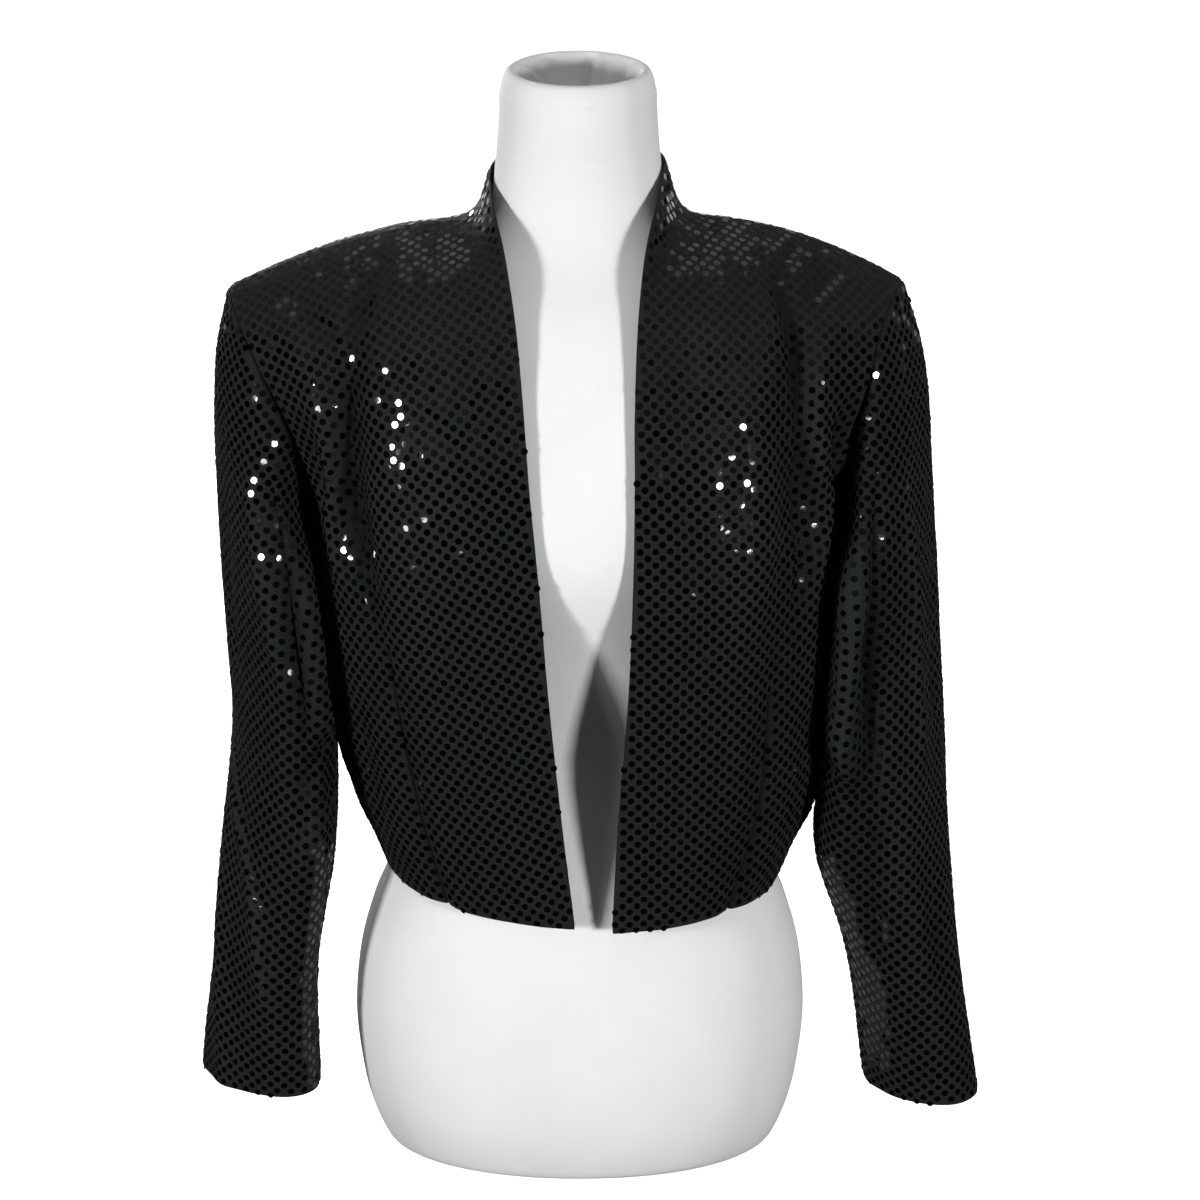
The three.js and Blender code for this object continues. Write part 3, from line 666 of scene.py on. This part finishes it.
SLEEVE_FOLDS = {
    "R": ((0.9, 2.6, 0.02, 0.05, 1.6, -9), (0.16, 5.7, -0.055, 0.035, 1.6, 5), (0.6, 3.4, 0, 0.06, 1.4, -6),
          (0.8, 4.2, 0, 0.06, 0.5, -5)),
    "L": ((0.94, 3.6, -0.01, 0.045, 1.7, -10), (0.06, 3.8, 0.01, 0.05, 1.8, 4), (0.58, 3.2, 0, 0.06, 1.4, -6),
          (0.8, 4.3, 0, 0.06, 0.5, -4)),
}
# Creases of the sleeves: u is 0 in front, 0.25 outside, 0.5 behind, and the seam under the arm is at -0.25 and 0.75
SLEEVE_CREASES = {
    "R": (
        (((-0.03, 0.9), (-0.08, 1.6), (-0.10, 2.4), (-0.11, 3.2), (-0.14, 4.0)), 7, -6.4, 0.3),
        (((-0.17, 1.6), (-0.20, 2.4), (-0.20, 3.2), (-0.22, 3.9)), 9, 4.1, 0.0),
        (((0.04, 1.0), (0.0, 1.8), (-0.03, 2.7), (-0.06, 3.5)), 8, 4.2, -0.2),
        (((0.20, 3.9), (0.13, 4.5), (0.06, 5.2), (0.0, 5.9), (-0.05, 6.5)), 6, 4.5, 0.5),
        (((-0.22, 3.6), (-0.12, 3.9), (-0.04, 4.3)), 8, -4.5, 0.2),
        (((-0.24, 4.3), (-0.14, 4.5), (-0.05, 5.0)), 7, 3.5, 0.0),
        (((0.12, 1.4), (0.14, 2.4), (0.12, 3.3)), 10, -3.1, 0.0),
        (((0.42, 1.2), (0.46, 2.2), (0.47, 3.2), (0.45, 4.2)), 9, -5.3, 0.2),
        (((0.55, 1.6), (0.58, 2.6), (0.60, 3.6)), 9, 4.2, 0.0),
        (((0.50, 4.4), (0.44, 5.1), (0.40, 5.9)), 9, -4.2, 0.2),
        (((0.66, 3.6), (0.56, 3.9), (0.48, 4.1)), 8, -3.9, 0.1),
    ),
    "L": (
        (((-0.04, 0.8), (-0.055, 1.8), (-0.05, 2.8), (-0.03, 3.8), (-0.006, 4.9)), 6, -6.4, -0.4),
        (((0.05, 1.2), (0.05, 2.2), (0.06, 3.2), (0.09, 4.2)), 8, 4.2, 0.2),
        (((-0.13, 1.4), (-0.14, 2.4), (-0.14, 3.4), (-0.13, 4.2)), 11, 7.0, 0.1),
        (((-0.01, 4.4), (-0.04, 5.2), (-0.07, 6.0)), 9, -3.9, 0.1),
        (((0.16, 2.0), (0.15, 3.0), (0.16, 4.0)), 10, -2.9, 0.0),
        (((0.08, 4.8), (0.10, 5.6), (0.12, 6.3)), 10, -3.1, 0.0),
        (((0.44, 1.2), (0.47, 2.2), (0.48, 3.2), (0.46, 4.2)), 9, -5.3, 0.2),
        (((0.56, 1.6), (0.58, 2.6), (0.61, 3.6)), 9, 3.9, 0.0),
        (((0.48, 4.4), (0.43, 5.1), (0.40, 5.9)), 9, -3.9, 0.2),
        (((-0.24, 3.9), (-0.15, 4.1), (-0.08, 4.4)), 8, -3.9, 0.1),
    ),
}


def ring_section(z, inner, outer, middle_y, half_depth, skew):
    def section(psi):
        turn = 2 * math.pi * psi
        y = middle_y - half_depth * np.cos(turn + math.radians(skew))
        return np.stack([mix(inner, outer, 0.5 + 0.5 * np.sin(turn)), y, np.full_like(y, z)], -1)

    return section


def armhole_section(side):
    front_edge = np.array([front_section(level, side)(np.ones(1))[0] for level in FRONT_LEVELS])
    back_edge = np.array([back_section(level, side)(np.ones(1))[0] for level in BACK_LEVELS])

    def section(psi):
        # From 0 at the underarm, up the front to 1 at the shoulder, and down the back to 2
        turn = (psi + 1.25) % 1 * 2
        up_front = along_curve(front_edge, mix(ARMPIT_LEVEL, TOP_LEVEL, np.minimum(turn, 1)))
        down_back = along_curve(back_edge, mix(TOP_LEVEL, ARMPIT_LEVEL, np.maximum(turn, 1) - 1))
        return np.where((turn <= 1)[:, None], up_front, down_back)

    return section


def cap_section(armhole, ring):
    def section(psi):
        outwards = np.sin(2 * math.pi * psi)
        points = mix(armhole(psi), ring(psi), CAP_SHARE)
        points[:, 0] += np.where(outwards > 0, CAP_SWELL * outwards, -UNDERARM_EASE * outwards)
        return points

    return section


def sleeve_pin(psi, v):
    return smooth(v / HEAD_FADE) + 0 * psi


def sleeve_ripple_pin(psi, v):
    return smooth(v / HEAD_RIPPLE_FADE) + 0 * psi


sleeve_psis = np.linspace(*SEAM_PSI, 2 * (TOP_LEVEL - ARMPIT_LEVEL) * ROWS_PER_LEVEL + 1)
sleeve_vs = with_extra(levels(CUFF_LEVEL, ROWS_PER_LEVEL), SLEEVE_EDGE_ROWS)
sleeves = {}
for side, across in ACROSS.items():
    armhole = armhole_section(side)
    rings = [ring_section(*row) for row in SLEEVE_RINGS[side]]
    whole = loft([armhole, cap_section(armhole, rings[0]), *rings])
    sleeves[side] = Panel(
        lambda u, v, whole=whole, across=across: whole(u, v) * np.array([across, 1, 1]),
        sleeve_psis, sleeve_vs, np.linspace(*SEAM_PSI, COARSE_SLEEVE_STEPS + 1), levels(CUFF_LEVEL, COARSE_ROWS),
        -across, SLEEVE_FOLDS[side], sleeve_pin, True, SLEEVE_GRAIN)


SAME_SPOT = 0.02


def share_normals(panels):
    """Where the edges of panels meet, all take the direction midway between their normals."""
    spots = np.concatenate([panel.points.reshape(-1, 3) for panel in panels])
    _, where = np.unique(np.round(spots / SAME_SPOT).astype(np.int64), axis=0, return_inverse=True)
    where = where.ravel()
    total = np.zeros((where.max() + 1, 3))
    np.add.at(total, where, np.concatenate([panel.normals.reshape(-1, 3) for panel in panels]))
    ends = np.cumsum([len(panel.vs) * len(panel.us) for panel in panels])
    for panel, common in zip(panels, np.split(unit(total)[where], ends[:-1])):
        panel.normals = common.reshape(panel.normals.shape)


share_normals([fronts["R"], fronts["L"], back, sleeves["R"], sleeves["L"]])

BODY_RIPPLE, SLEEVE_RIPPLE = 0.85, 0.75
for panel, creases, seed, height, ripple_seed, pin in (
        (fronts["R"], FRONT_CREASES["R"], 1.0, BODY_RIPPLE, 11, front_pin),
        (fronts["L"], FRONT_CREASES["L"], 4.0, BODY_RIPPLE, 12, front_pin),
        (back, BACK_CREASES, 7.0, BODY_RIPPLE, 13, back_pin),
        (sleeves["R"], SLEEVE_CREASES["R"], 2.0, SLEEVE_RIPPLE, 14, sleeve_ripple_pin),
        (sleeves["L"], SLEEVE_CREASES["L"], 9.0, SLEEVE_RIPPLE, 15, sleeve_ripple_pin)):
    panel.crease(creases, seed)
    panel.out += ripple(panel.flat, height, ripple_seed) * pin(panel.us[None, :], panel.vs[:, None])
# Seams, darts and turned edges in millimetres: half width, depth, and the margin that is kept bare of sequins
SIDE_AND_ARMHOLE, SHOULDER_SEAM, WAIST_DART_GROOVE = (1.2, 2.6, 1.7), (1.8, 0.7, 1.7), (1.1, 3.0, 1.8)
BACK_SEAM, SLEEVE_HEAD, UNDERARM_SEAM, TURNED_EDGE = (1.6, 0.8, 1.7), (1.2, 2.4, 1.7), (1.6, 1.2, 1.7), (1.6, 0.3, 0.6)
for side, panel in fronts.items():
    panel.groove(panel.flat[:, -1], *SIDE_AND_ARMHOLE)
    panel.groove(panel.flat[-1], *SHOULDER_SEAM)
    panel.groove(panel.flat[:, 0], *TURNED_EDGE)
    panel.groove(panel.flat[0], *TURNED_EDGE)
    dart = int(np.argmin(np.abs(panel.us - WAIST_DART[side])))
    panel.groove(panel.flat[panel.vs <= WAIST_DART_TOP[side], dart], *WAIST_DART_GROOVE)
for line in (back.flat[:, 0], back.flat[:, -1], back.flat[-1][back.us <= -BACK_NECK_SHARE],
             back.flat[-1][back.us >= BACK_NECK_SHARE]):
    back.groove(line, *BACK_SEAM)
for line in (back.flat[0], back.flat[-1][np.abs(back.us) <= BACK_NECK_SHARE]):
    back.groove(line, *TURNED_EDGE)
for panel in sleeves.values():
    panel.groove(panel.flat[0], *SLEEVE_HEAD)
    panel.groove(panel.flat[:, 0], *UNDERARM_SEAM)
    panel.groove(panel.flat[:, -1], *UNDERARM_SEAM)
    panel.groove(panel.flat[-1], *TURNED_EDGE)


def shell(name, panel, free, tube=False, mirrored=False):
    """The panel as a closed thin wall with rounded rims, with the map of its cut at every corner."""
    points, normals, flat, relief = panel.points, panel.normals, panel.flat, panel.relief + panel.out
    outer = points + normals * panel.out[..., None]
    inner = outer - normals * CLOTH
    bulge = np.zeros(outer.shape)
    for edge, beside in free:
        bulge[edge] = unit(outer[edge] - outer[beside]) * CLOTH * RIM_ROUND
    middle = (outer + inner) / 2 + bulge
    if mirrored:
        outer, inner, middle, flat, relief = (grid[:, ::-1] for grid in (outer, inner, middle, flat, relief))
    rows, columns = outer.shape[:2]
    index = np.arange(rows * columns).reshape(rows, columns)
    real = index.copy()
    if tube:
        real[:, -1] = real[:, 0]
    quads = cells(index).reshape(-1, 4)
    if tube:
        loops = [index[0], index[-1, ::-1]]
    else:
        loops = [np.concatenate([index[0], index[1:, -1], index[-1, -2::-1], index[-2::-1, 0]])]
    size = rows * columns
    faces, corners = [quads, quads[:, ::-1] + size], [quads, quads[:, ::-1]]
    for loop in loops:
        a, b = loop[:-1], loop[1:]
        faces.append(np.stack([b, a, a + 2 * size, b + 2 * size], -1))
        faces.append(np.stack([b + 2 * size, a + 2 * size, a + size, b + size], -1))
        corners += [np.stack([b, a, a, b], -1)] * 2
    faces, corners = np.concatenate(faces), np.concatenate(corners)
    merged = np.concatenate([real.ravel(), real.ravel() + size, real.ravel() + 2 * size])
    every = np.concatenate([outer.reshape(-1, 3), inner.reshape(-1, 3), middle.reshape(-1, 3)])
    used, renumbered = np.unique(merged[faces], return_inverse=True)
    piece = add_mesh(name, every[used], renumbered.reshape(faces.shape), flat.reshape(-1, 2)[corners])
    # The heights of the creases and ridges, which the knit's material reads to paint shade in the troughs and light on
    # the ridges
    shade_relief = np.tile(relief.ravel(), 3)[used].astype(np.float32)
    piece.data.attributes.new("ridge height", "FLOAT", "POINT").data.foreach_set("value", shade_relief)
    piece.data.materials.append(sequinned_knit)
    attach(piece, "root")
    return piece


KNIT_WALES, KNIT_PILLS, KNIT_RELIEF = 1500, 60, 0.5
KNIT_CAST, PILE_SHADE = {"Scale": 14.0, "Detail": 2.0}, {3: 0.7, 4: 1.3}
COOL_BLACK, WARM_BLACK = (0.35, (0.0073, 0.0102, 0.0103)), (0.68, (0.0102, 0.0101, 0.0104))
# Painted shade and light: the knit is painted darker in the troughs and paler on the ridges, where shade and light
# would fall: heights in millimetres, then shares
CREASE_LIGHT_AND_SHADE = {1: -8.0, 2: 6.0, 3: 0.45, 4: 1.4}


def knit_material():
    material, tree, shader = start_material(
        "sequinned knit", Roughness=0.85, Sheen_Weight=0.04, Sheen_Roughness=0.4, IOR=1.3)
    pilling = knit_finish(tree, shader, KNIT_WALES, KNIT_PILLS, KNIT_RELIEF)
    tone = blotches(tree, KNIT_CAST, COOL_BLACK, WARM_BLACK)
    pile = add_value(tree, "ShaderNodeMapRange", {0: pilling, **PILE_SHADE})
    # Painted shade in the troughs of the creases and painted light on their ridges, read from the ridge height
    ridge = add_node(tree, "ShaderNodeAttribute", attribute_name="ridge height").outputs["Fac"]
    painted_crease_shade = add_value(tree, "ShaderNodeMapRange", {0: ridge, **CREASE_LIGHT_AND_SHADE})
    for share, shade in ((0.5, pile), (1.0, painted_crease_shade)):
        tone = add_value(tree, "ShaderNodeMixRGB", {0: share, 1: tone, 2: shade}, blend_type="MULTIPLY")
    tree.links.new(tone, shader.inputs["Base Color"])
    return material


sequinned_knit = knit_material()
free_edge, hem, cuff = (np.s_[:, 0], np.s_[:, 1]), (np.s_[0], np.s_[1]), (np.s_[-1], np.s_[-2])
neckline = (np.s_[-1, np.abs(back.us) <= BACK_NECK_SHARE], np.s_[-2, np.abs(back.us) <= BACK_NECK_SHARE])
cloth_pieces = {
    "front_right": shell("front_right_cloth", fronts["R"], (free_edge, hem), mirrored=True),
    "front_left": shell("front_left_cloth", fronts["L"], (free_edge, hem)),
    "back": shell("back_cloth", back, (hem, neckline)),
    "sleeve_right": shell("sleeve_right_cloth", sleeves["R"], (cuff,), tube=True),
    "sleeve_left": shell("sleeve_left_cloth", sleeves["L"], (cuff,), tube=True, mirrored=True),
}
panels = {"front_right": fronts["R"], "front_left": fronts["L"], "back": back, "sleeve_right": sleeves["R"],
          "sleeve_left": sleeves["L"]}


def cut_area(flat):
    """The area of a flat cut, in square metres, from its cells."""
    a, b = flat[1:, 1:] - flat[:-1, :-1], flat[1:, :-1] - flat[:-1, 1:]
    return float(np.abs(a[..., 0] * b[..., 1] - a[..., 1] * b[..., 0]).sum() / 2 * METRES ** 2)


# ------------------------------------------------
# The sequins. Flat black foil dots, 4.8 mm across, bonded to the outside of the knit in staggered rows that follow its
# grain. The rows are cut through by the seams and darts, and run up to the turned edges.
DOT_SIZES = {"Across": 0.0101, "Row step": 0.0047, "Dot radius": 0.0024, "Dome": 0.00004, "Stand off": 0.00022,
             "Tilt": 0.11}
DOT_SIDES, DOT_EDGE, FULL_TURN, FIRST_SEED, SPARE_ROWS = 12, 0.12, 6.283, 20, 3
FOIL_TONES, FOIL_ROUGH = ((0.0003, 0.0004, 0.0005, 1), (0.0010, 0.0008, 0.0015, 1)), {3: 0.03, 4: 0.09}
# How far the rows are turned from the middle of each panel, in radians
GRAIN_TURNS = {"front_right": 0.13, "front_left": -0.05, "back": 0.0, "sleeve_right": 0.06, "sleeve_left": -0.04}


def dot_tree():
    """Dots on a staggered lattice over the flat cut, each carried to its place on the cloth."""
    tree = bpy.data.node_groups.new("sequin rows", "GeometryNodeTree")
    add_sockets(tree, "INPUT", "Geometry", "Geometry")
    add_sockets(tree, "INPUT", "Float", *DOT_SIZES)
    add_sockets(tree, "INPUT", "Vector", "Middle")
    add_sockets(tree, "INPUT", "Int", "Columns", "Rows", "Seed")
    add_sockets(tree, "INPUT", "Material", "Finish")
    add_sockets(tree, "OUTPUT", "Geometry", "Geometry")
    given = tree.nodes.new("NodeGroupInput").outputs

    def number(operation, a, b=0.0, c=0.0):
        return maths(tree, operation, a, b, c)

    width = number("MULTIPLY", number("SUBTRACT", given["Columns"], 1.0), given["Across"])
    height = number("MULTIPLY", number("SUBTRACT", given["Rows"], 1.0), given["Row step"])
    lattice = add_value(tree, "GeometryNodeMeshGrid", {
        "Size X": width, "Size Y": height, "Vertices X": given["Columns"], "Vertices Y": given["Rows"]})
    place = tree.nodes.new("GeometryNodeInputPosition").outputs[0]
    y = add_node(tree, "ShaderNodeSeparateXYZ", {0: place}).outputs[1]
    row = number("ROUND", number("DIVIDE", number("MULTIPLY_ADD", height, 0.5, y), given["Row step"]))
    stagger = number("MULTIPLY", number("MODULO", row, 2.0), number("MULTIPLY", given["Across"], 0.5))
    shift = add_value(tree, "ShaderNodeCombineXYZ", {0: stagger})
    offset = add_value(tree, "ShaderNodeVectorMath", {0: shift, 1: given["Middle"]}, operation="ADD")
    points = add_value(tree, "GeometryNodeSetPosition", {"Geometry": lattice, "Offset": offset})

    def read(name, kind):
        return add_node(tree, "GeometryNodeInputNamedAttribute", {"Name": name}, data_type=kind).outputs["Attribute"]

    def carried(value, kind):
        return add_node(tree, "GeometryNodeSampleUVSurface", {
            "Mesh": given["Geometry"], "Value": value, "Source UV Map": read("cloth", "FLOAT_VECTOR"),
            "Sample UV": place}, data_type=kind)

    def stored(geometry, name, value, kind, domain="POINT"):
        return add_value(tree, "GeometryNodeStoreNamedAttribute", {
            "Geometry": geometry, "Name": name, "Value": value}, data_type=kind, domain=domain)

    normal = tree.nodes.new("GeometryNodeInputNormal").outputs[0]
    room = carried(read("room", "FLOAT"), "FLOAT")
    points = stored(points, "on cloth", carried(place, "FLOAT_VECTOR").outputs[0], "FLOAT_VECTOR")
    points = stored(points, "facing", carried(normal, "FLOAT_VECTOR").outputs[0], "FLOAT_VECTOR")
    points = stored(points, "spare", number("MULTIPLY", room.outputs["Is Valid"], room.outputs[0]), "FLOAT")
    bare = number("LESS_THAN", read("spare", "FLOAT"), 1e-6)
    points = add_value(tree, "GeometryNodeDeleteGeometry", {"Geometry": points, "Selection": bare})
    points = add_value(tree, "GeometryNodeSetPosition", {
        "Geometry": points, "Position": read("on cloth", "FLOAT_VECTOR")})

    foil = add_value(tree, "GeometryNodeMeshCone", {
        "Vertices": DOT_SIDES, "Radius Top": 0.0, "Radius Bottom": given["Dot radius"], "Depth": given["Dome"]},
        fill_type="NONE")
    back_of_foil = add_value(tree, "GeometryNodeMeshCone", {
        "Vertices": DOT_SIDES, "Radius Top": given["Dot radius"], "Radius Bottom": 0.0, "Depth": given["Stand off"]},
        fill_type="NONE")
    lift = add_value(tree, "ShaderNodeCombineXYZ", {2: given["Stand off"]})
    foil = add_value(tree, "GeometryNodeTransform", {"Geometry": foil, "Translation": lift})
    joined = tree.nodes.new("GeometryNodeJoinGeometry")
    tree.links.new(foil, joined.inputs[0])
    tree.links.new(back_of_foil, joined.inputs[0])
    dot = add_value(tree, "GeometryNodeMergeByDistance", {"Geometry": joined.outputs[0], "Distance": 1e-6})

    facing = read("facing", "FLOAT_VECTOR")
    upright = add_value(tree, "FunctionNodeAlignRotationToVector", {"Vector": facing}, axis="Z")
    lean = number("MULTIPLY", given["Tilt"], -1.0)
    least = add_value(tree, "ShaderNodeCombineXYZ", {0: lean, 1: lean, 2: 0.0})
    most = add_value(tree, "ShaderNodeCombineXYZ", {0: given["Tilt"], 1: given["Tilt"], 2: FULL_TURN})
    loose = add_value(tree, "FunctionNodeRandomValue", {"Min": least, "Max": most, "Seed": given["Seed"]},
                     data_type="FLOAT_VECTOR")
    tipped = add_value(tree, "FunctionNodeEulerToRotation", {0: loose})
    rotation = add_value(tree, "FunctionNodeRotateRotation", {
        "Rotation": upright, "Rotate By": tipped}, rotation_space="LOCAL")
    dots = add_value(tree, "GeometryNodeInstanceOnPoints", {
        "Points": points, "Instance": dot, "Rotation": rotation})
    shade = add_node(tree, "FunctionNodeRandomValue", {"Seed": given["Seed"]}, data_type="FLOAT").outputs[1]
    dots = stored(dots, "dot shade", shade, "FLOAT", "INSTANCE")
    dots = add_value(tree, "GeometryNodeRealizeInstances", {"Geometry": dots})
    dots = add_value(tree, "GeometryNodeSetMaterial", {"Geometry": dots, "Material": given["Finish"]})
    tree.links.new(dots, tree.nodes.new("NodeGroupOutput").inputs[0])
    return tree


def sequin_material():
    material, tree, shader = start_material("sequin foil", IOR=1.5)
    shade = add_node(tree, "ShaderNodeAttribute", attribute_name="dot shade").outputs["Fac"]
    tone = add_node(tree, "ShaderNodeValToRGB", {0: shade})
    for element, colour in zip(tone.color_ramp.elements, FOIL_TONES):
        element.color = colour
    tree.links.new(tone.outputs[0], shader.inputs["Base Color"])
    rough = add_value(tree, "ShaderNodeMapRange", {0: shade, **FOIL_ROUGH})
    tree.links.new(rough, shader.inputs["Roughness"])
    place = add_node(tree, "ShaderNodeTexCoord").outputs["Object"]
    wave = add_value(tree, "ShaderNodeTexNoise", {"Vector": place, "Scale": 420.0, "Detail": 1.0})
    bump = add_value(tree, "ShaderNodeBump", {"Strength": 0.25, "Distance": 0.0001, "Height": wave})
    tree.links.new(bump, shader.inputs["Normal"])
    return material


def set_input(modifier, name, value):
    socket = next(item for item in modifier.node_group.interface.items_tree
                  if item.name == name and item.in_out == "INPUT")
    modifier[socket.identifier] = value


MIRRORED = ("front_right", "sleeve_left")


def dotted(name, panel, turn, seed, mirrored):
    """The sequins of one panel, from the outer face of its cloth."""
    points, flat, room = panel.points + panel.normals * panel.out[..., None], panel.flat, panel.room
    if mirrored:
        points, flat, room = points[:, ::-1], flat[:, ::-1], room[:, ::-1]
    c, s = math.cos(turn), math.sin(turn)
    flat = flat @ np.array([[c, s], [-s, c]])
    index = np.arange(room.size).reshape(room.shape)
    quads = cells(index).reshape(-1, 4)
    face = add_mesh(name + "_face", points.reshape(-1, 3), quads, flat.reshape(-1, 2)[quads])
    face.data.attributes.new("room", "FLOAT", "POINT").data.foreach_set("value", room.astype(np.float32).ravel())
    low, high = flat.reshape(-1, 2).min(axis=0) * METRES, flat.reshape(-1, 2).max(axis=0) * METRES
    modifier = face.modifiers.new("sequins", "NODES")
    modifier.node_group = sequin_rows
    for size, value in DOT_SIZES.items():
        set_input(modifier, size, value)
    set_input(modifier, "Middle", (*((low + high) / 2), 0.0))
    set_input(modifier, "Columns", int((high - low)[0] / DOT_SIZES["Across"]) + SPARE_ROWS)
    set_input(modifier, "Rows", int((high - low)[1] / DOT_SIZES["Row step"]) + SPARE_ROWS)
    set_input(modifier, "Seed", seed)
    set_input(modifier, "Finish", sequin_foil)
    deps = bpy.context.evaluated_depsgraph_get()
    mesh = bpy.data.meshes.new_from_object(face.evaluated_get(deps), depsgraph=deps)
    bpy.data.objects.remove(face)
    mesh.shade_smooth()
    mesh.set_sharp_from_angle(angle=DOT_EDGE)
    dots = linked(name, mesh)
    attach(dots, "root")
    return dots


sequin_rows, sequin_foil = dot_tree(), sequin_material()
sequins = {
    name: dotted(name + "_sequins", panel, GRAIN_TURNS[name], FIRST_SEED + number, name in MIRRORED)
    for number, (name, panel) in enumerate(panels.items())
}
for name, piece in cloth_pieces.items():
    flat = panels[name].flat.reshape(-1, 2)
    width, length = (flat.max(axis=0) - flat.min(axis=0)) * METRES
    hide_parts(name)
    cut_area(panels[name].flat)


# ------------------------------------------------
# The camera, soft lights and floor. Two soft boxes stand in front at the left and right, with a small low one beside
# each, a wide one above and one behind. The room is white behind the form and dim in front, with a pale floor.
LENS, FILM_WIDTH = 100.7, 36.0
CAMERA_PLACE, CAMERA_AIM = (0.015, -2.300, 1.150), (0.015, 0.0, 0.417)
SOFT_BOXES = (
    # name, place, aim, width, power in watts
    ("left box", (-1.98, -1.74, 0.80), (0, 0, 0.45), 0.34, 48),
    ("right box", (1.62, -2.05, 0.70), (0, 0, 0.45), 0.34, 42),
    ("top box", (0.0, 0.35, 2.2), (0, 0, 0.5), 1.6, 5),
    ("low left box", (-1.60, -1.90, 0.10), (0, 0, 0.4), 0.22, 3),
    ("low right box", (1.45, -2.00, 0.10), (0, 0, 0.4), 0.22, 3),
    ("back box", (-0.9, 2.3, 1.2), (0, 0, 0.45), 0.5, 34),
)


def aimed(name, data, place, aim):
    made = linked(name, data)
    made.location = place
    made.rotation_euler = (Vector(aim) - Vector(place)).to_track_quat("-Z", "Y").to_euler()
    return made


camera_data = bpy.data.cameras.new("camera")
camera_data.lens, camera_data.sensor_width = LENS, FILM_WIDTH
bpy.context.scene.camera = aimed("camera", camera_data, CAMERA_PLACE, CAMERA_AIM)
for name, place, aim, width, power in SOFT_BOXES:
    lamp = bpy.data.lights.new(name, "AREA")
    lamp.shape, lamp.size, lamp.size_y, lamp.energy = "RECTANGLE", width, width, power
    aimed(name, lamp, place, aim)

# The room's light: dim in front, a little brighter overhead from one height to another, and bright low behind
DIM, OVERHEAD, BRIGHT = 0.012, 0.22, 1.5
OVERHEAD_FROM, OVERHEAD_TO, BEHIND_FROM, BEHIND_TO, BEHIND_FALL = 0.1, 0.55, 0.45, 0.95, -0.6


def room():
    """White to the camera and low behind the form, dim overhead, and nearly dark in front of it."""
    world = bpy.data.worlds.new("room")
    world.use_nodes = True
    tree = world.node_tree
    surround = tree.nodes["Background"]
    place = add_node(tree, "ShaderNodeTexCoord").outputs["Generated"]
    split = add_node(tree, "ShaderNodeSeparateXYZ", {0: place}).outputs
    ceiling = add_value(tree, "ShaderNodeMapRange", {
        0: split[2], 1: OVERHEAD_FROM, 2: OVERHEAD_TO, 3: DIM, 4: OVERHEAD},
        interpolation_type="SMOOTHSTEP")
    low_behind = maths(tree, "MULTIPLY_ADD", split[2], BEHIND_FALL, split[1])
    behind = add_value(tree, "ShaderNodeMapRange", {
        0: low_behind, 1: BEHIND_FROM, 2: BEHIND_TO}, interpolation_type="SMOOTHSTEP")
    level = add_value(tree, "ShaderNodeMix", {0: behind, 2: ceiling, 3: BRIGHT})
    seen = add_node(tree, "ShaderNodeLightPath").outputs["Is Camera Ray"]
    level = add_node(tree, "ShaderNodeMix", {0: seen, 2: level, 3: 1.0})
    tree.links.new(level.outputs[0], surround.inputs["Strength"])
    surround.inputs["Color"].default_value = (1, 1, 1, 1)
    return world


bpy.context.scene.world = room()
bpy.context.scene.view_settings.view_transform = "Standard"

FLOOR_REACH = 9.0
FLOOR_CORNERS = [(-FLOOR_REACH, -FLOOR_REACH, 0), (FLOOR_REACH, -FLOOR_REACH, 0), (FLOOR_REACH, FLOOR_REACH, 0),
                 (-FLOOR_REACH, FLOOR_REACH, 0)]


def make_floor():
    """Pale to the camera, and dark to the sequins and the form's underside."""
    mesh = bpy.data.meshes.new("floor")
    mesh.from_pydata(FLOOR_CORNERS, [], [(0, 1, 2, 3)])
    floor = linked("floor", mesh)
    material, tree, shader = start_material(
        "pale floor", Base_Color=(0.85, 0.85, 0.86, 1), Roughness=0.9,
        Emission_Color=(1, 1, 1, 1), Emission_Strength=1.0)
    shaded = add_value(tree, "ShaderNodeBsdfDiffuse", {"Color": (0.02, 0.02, 0.02, 1)})
    seen = add_node(tree, "ShaderNodeLightPath").outputs["Is Camera Ray"]
    either = add_value(tree, "ShaderNodeMixShader", {0: seen, 1: shaded, 2: shader.outputs[0]})
    tree.links.new(either, tree.nodes["Material Output"].inputs["Surface"])
    mesh.materials.append(material)


make_floor()
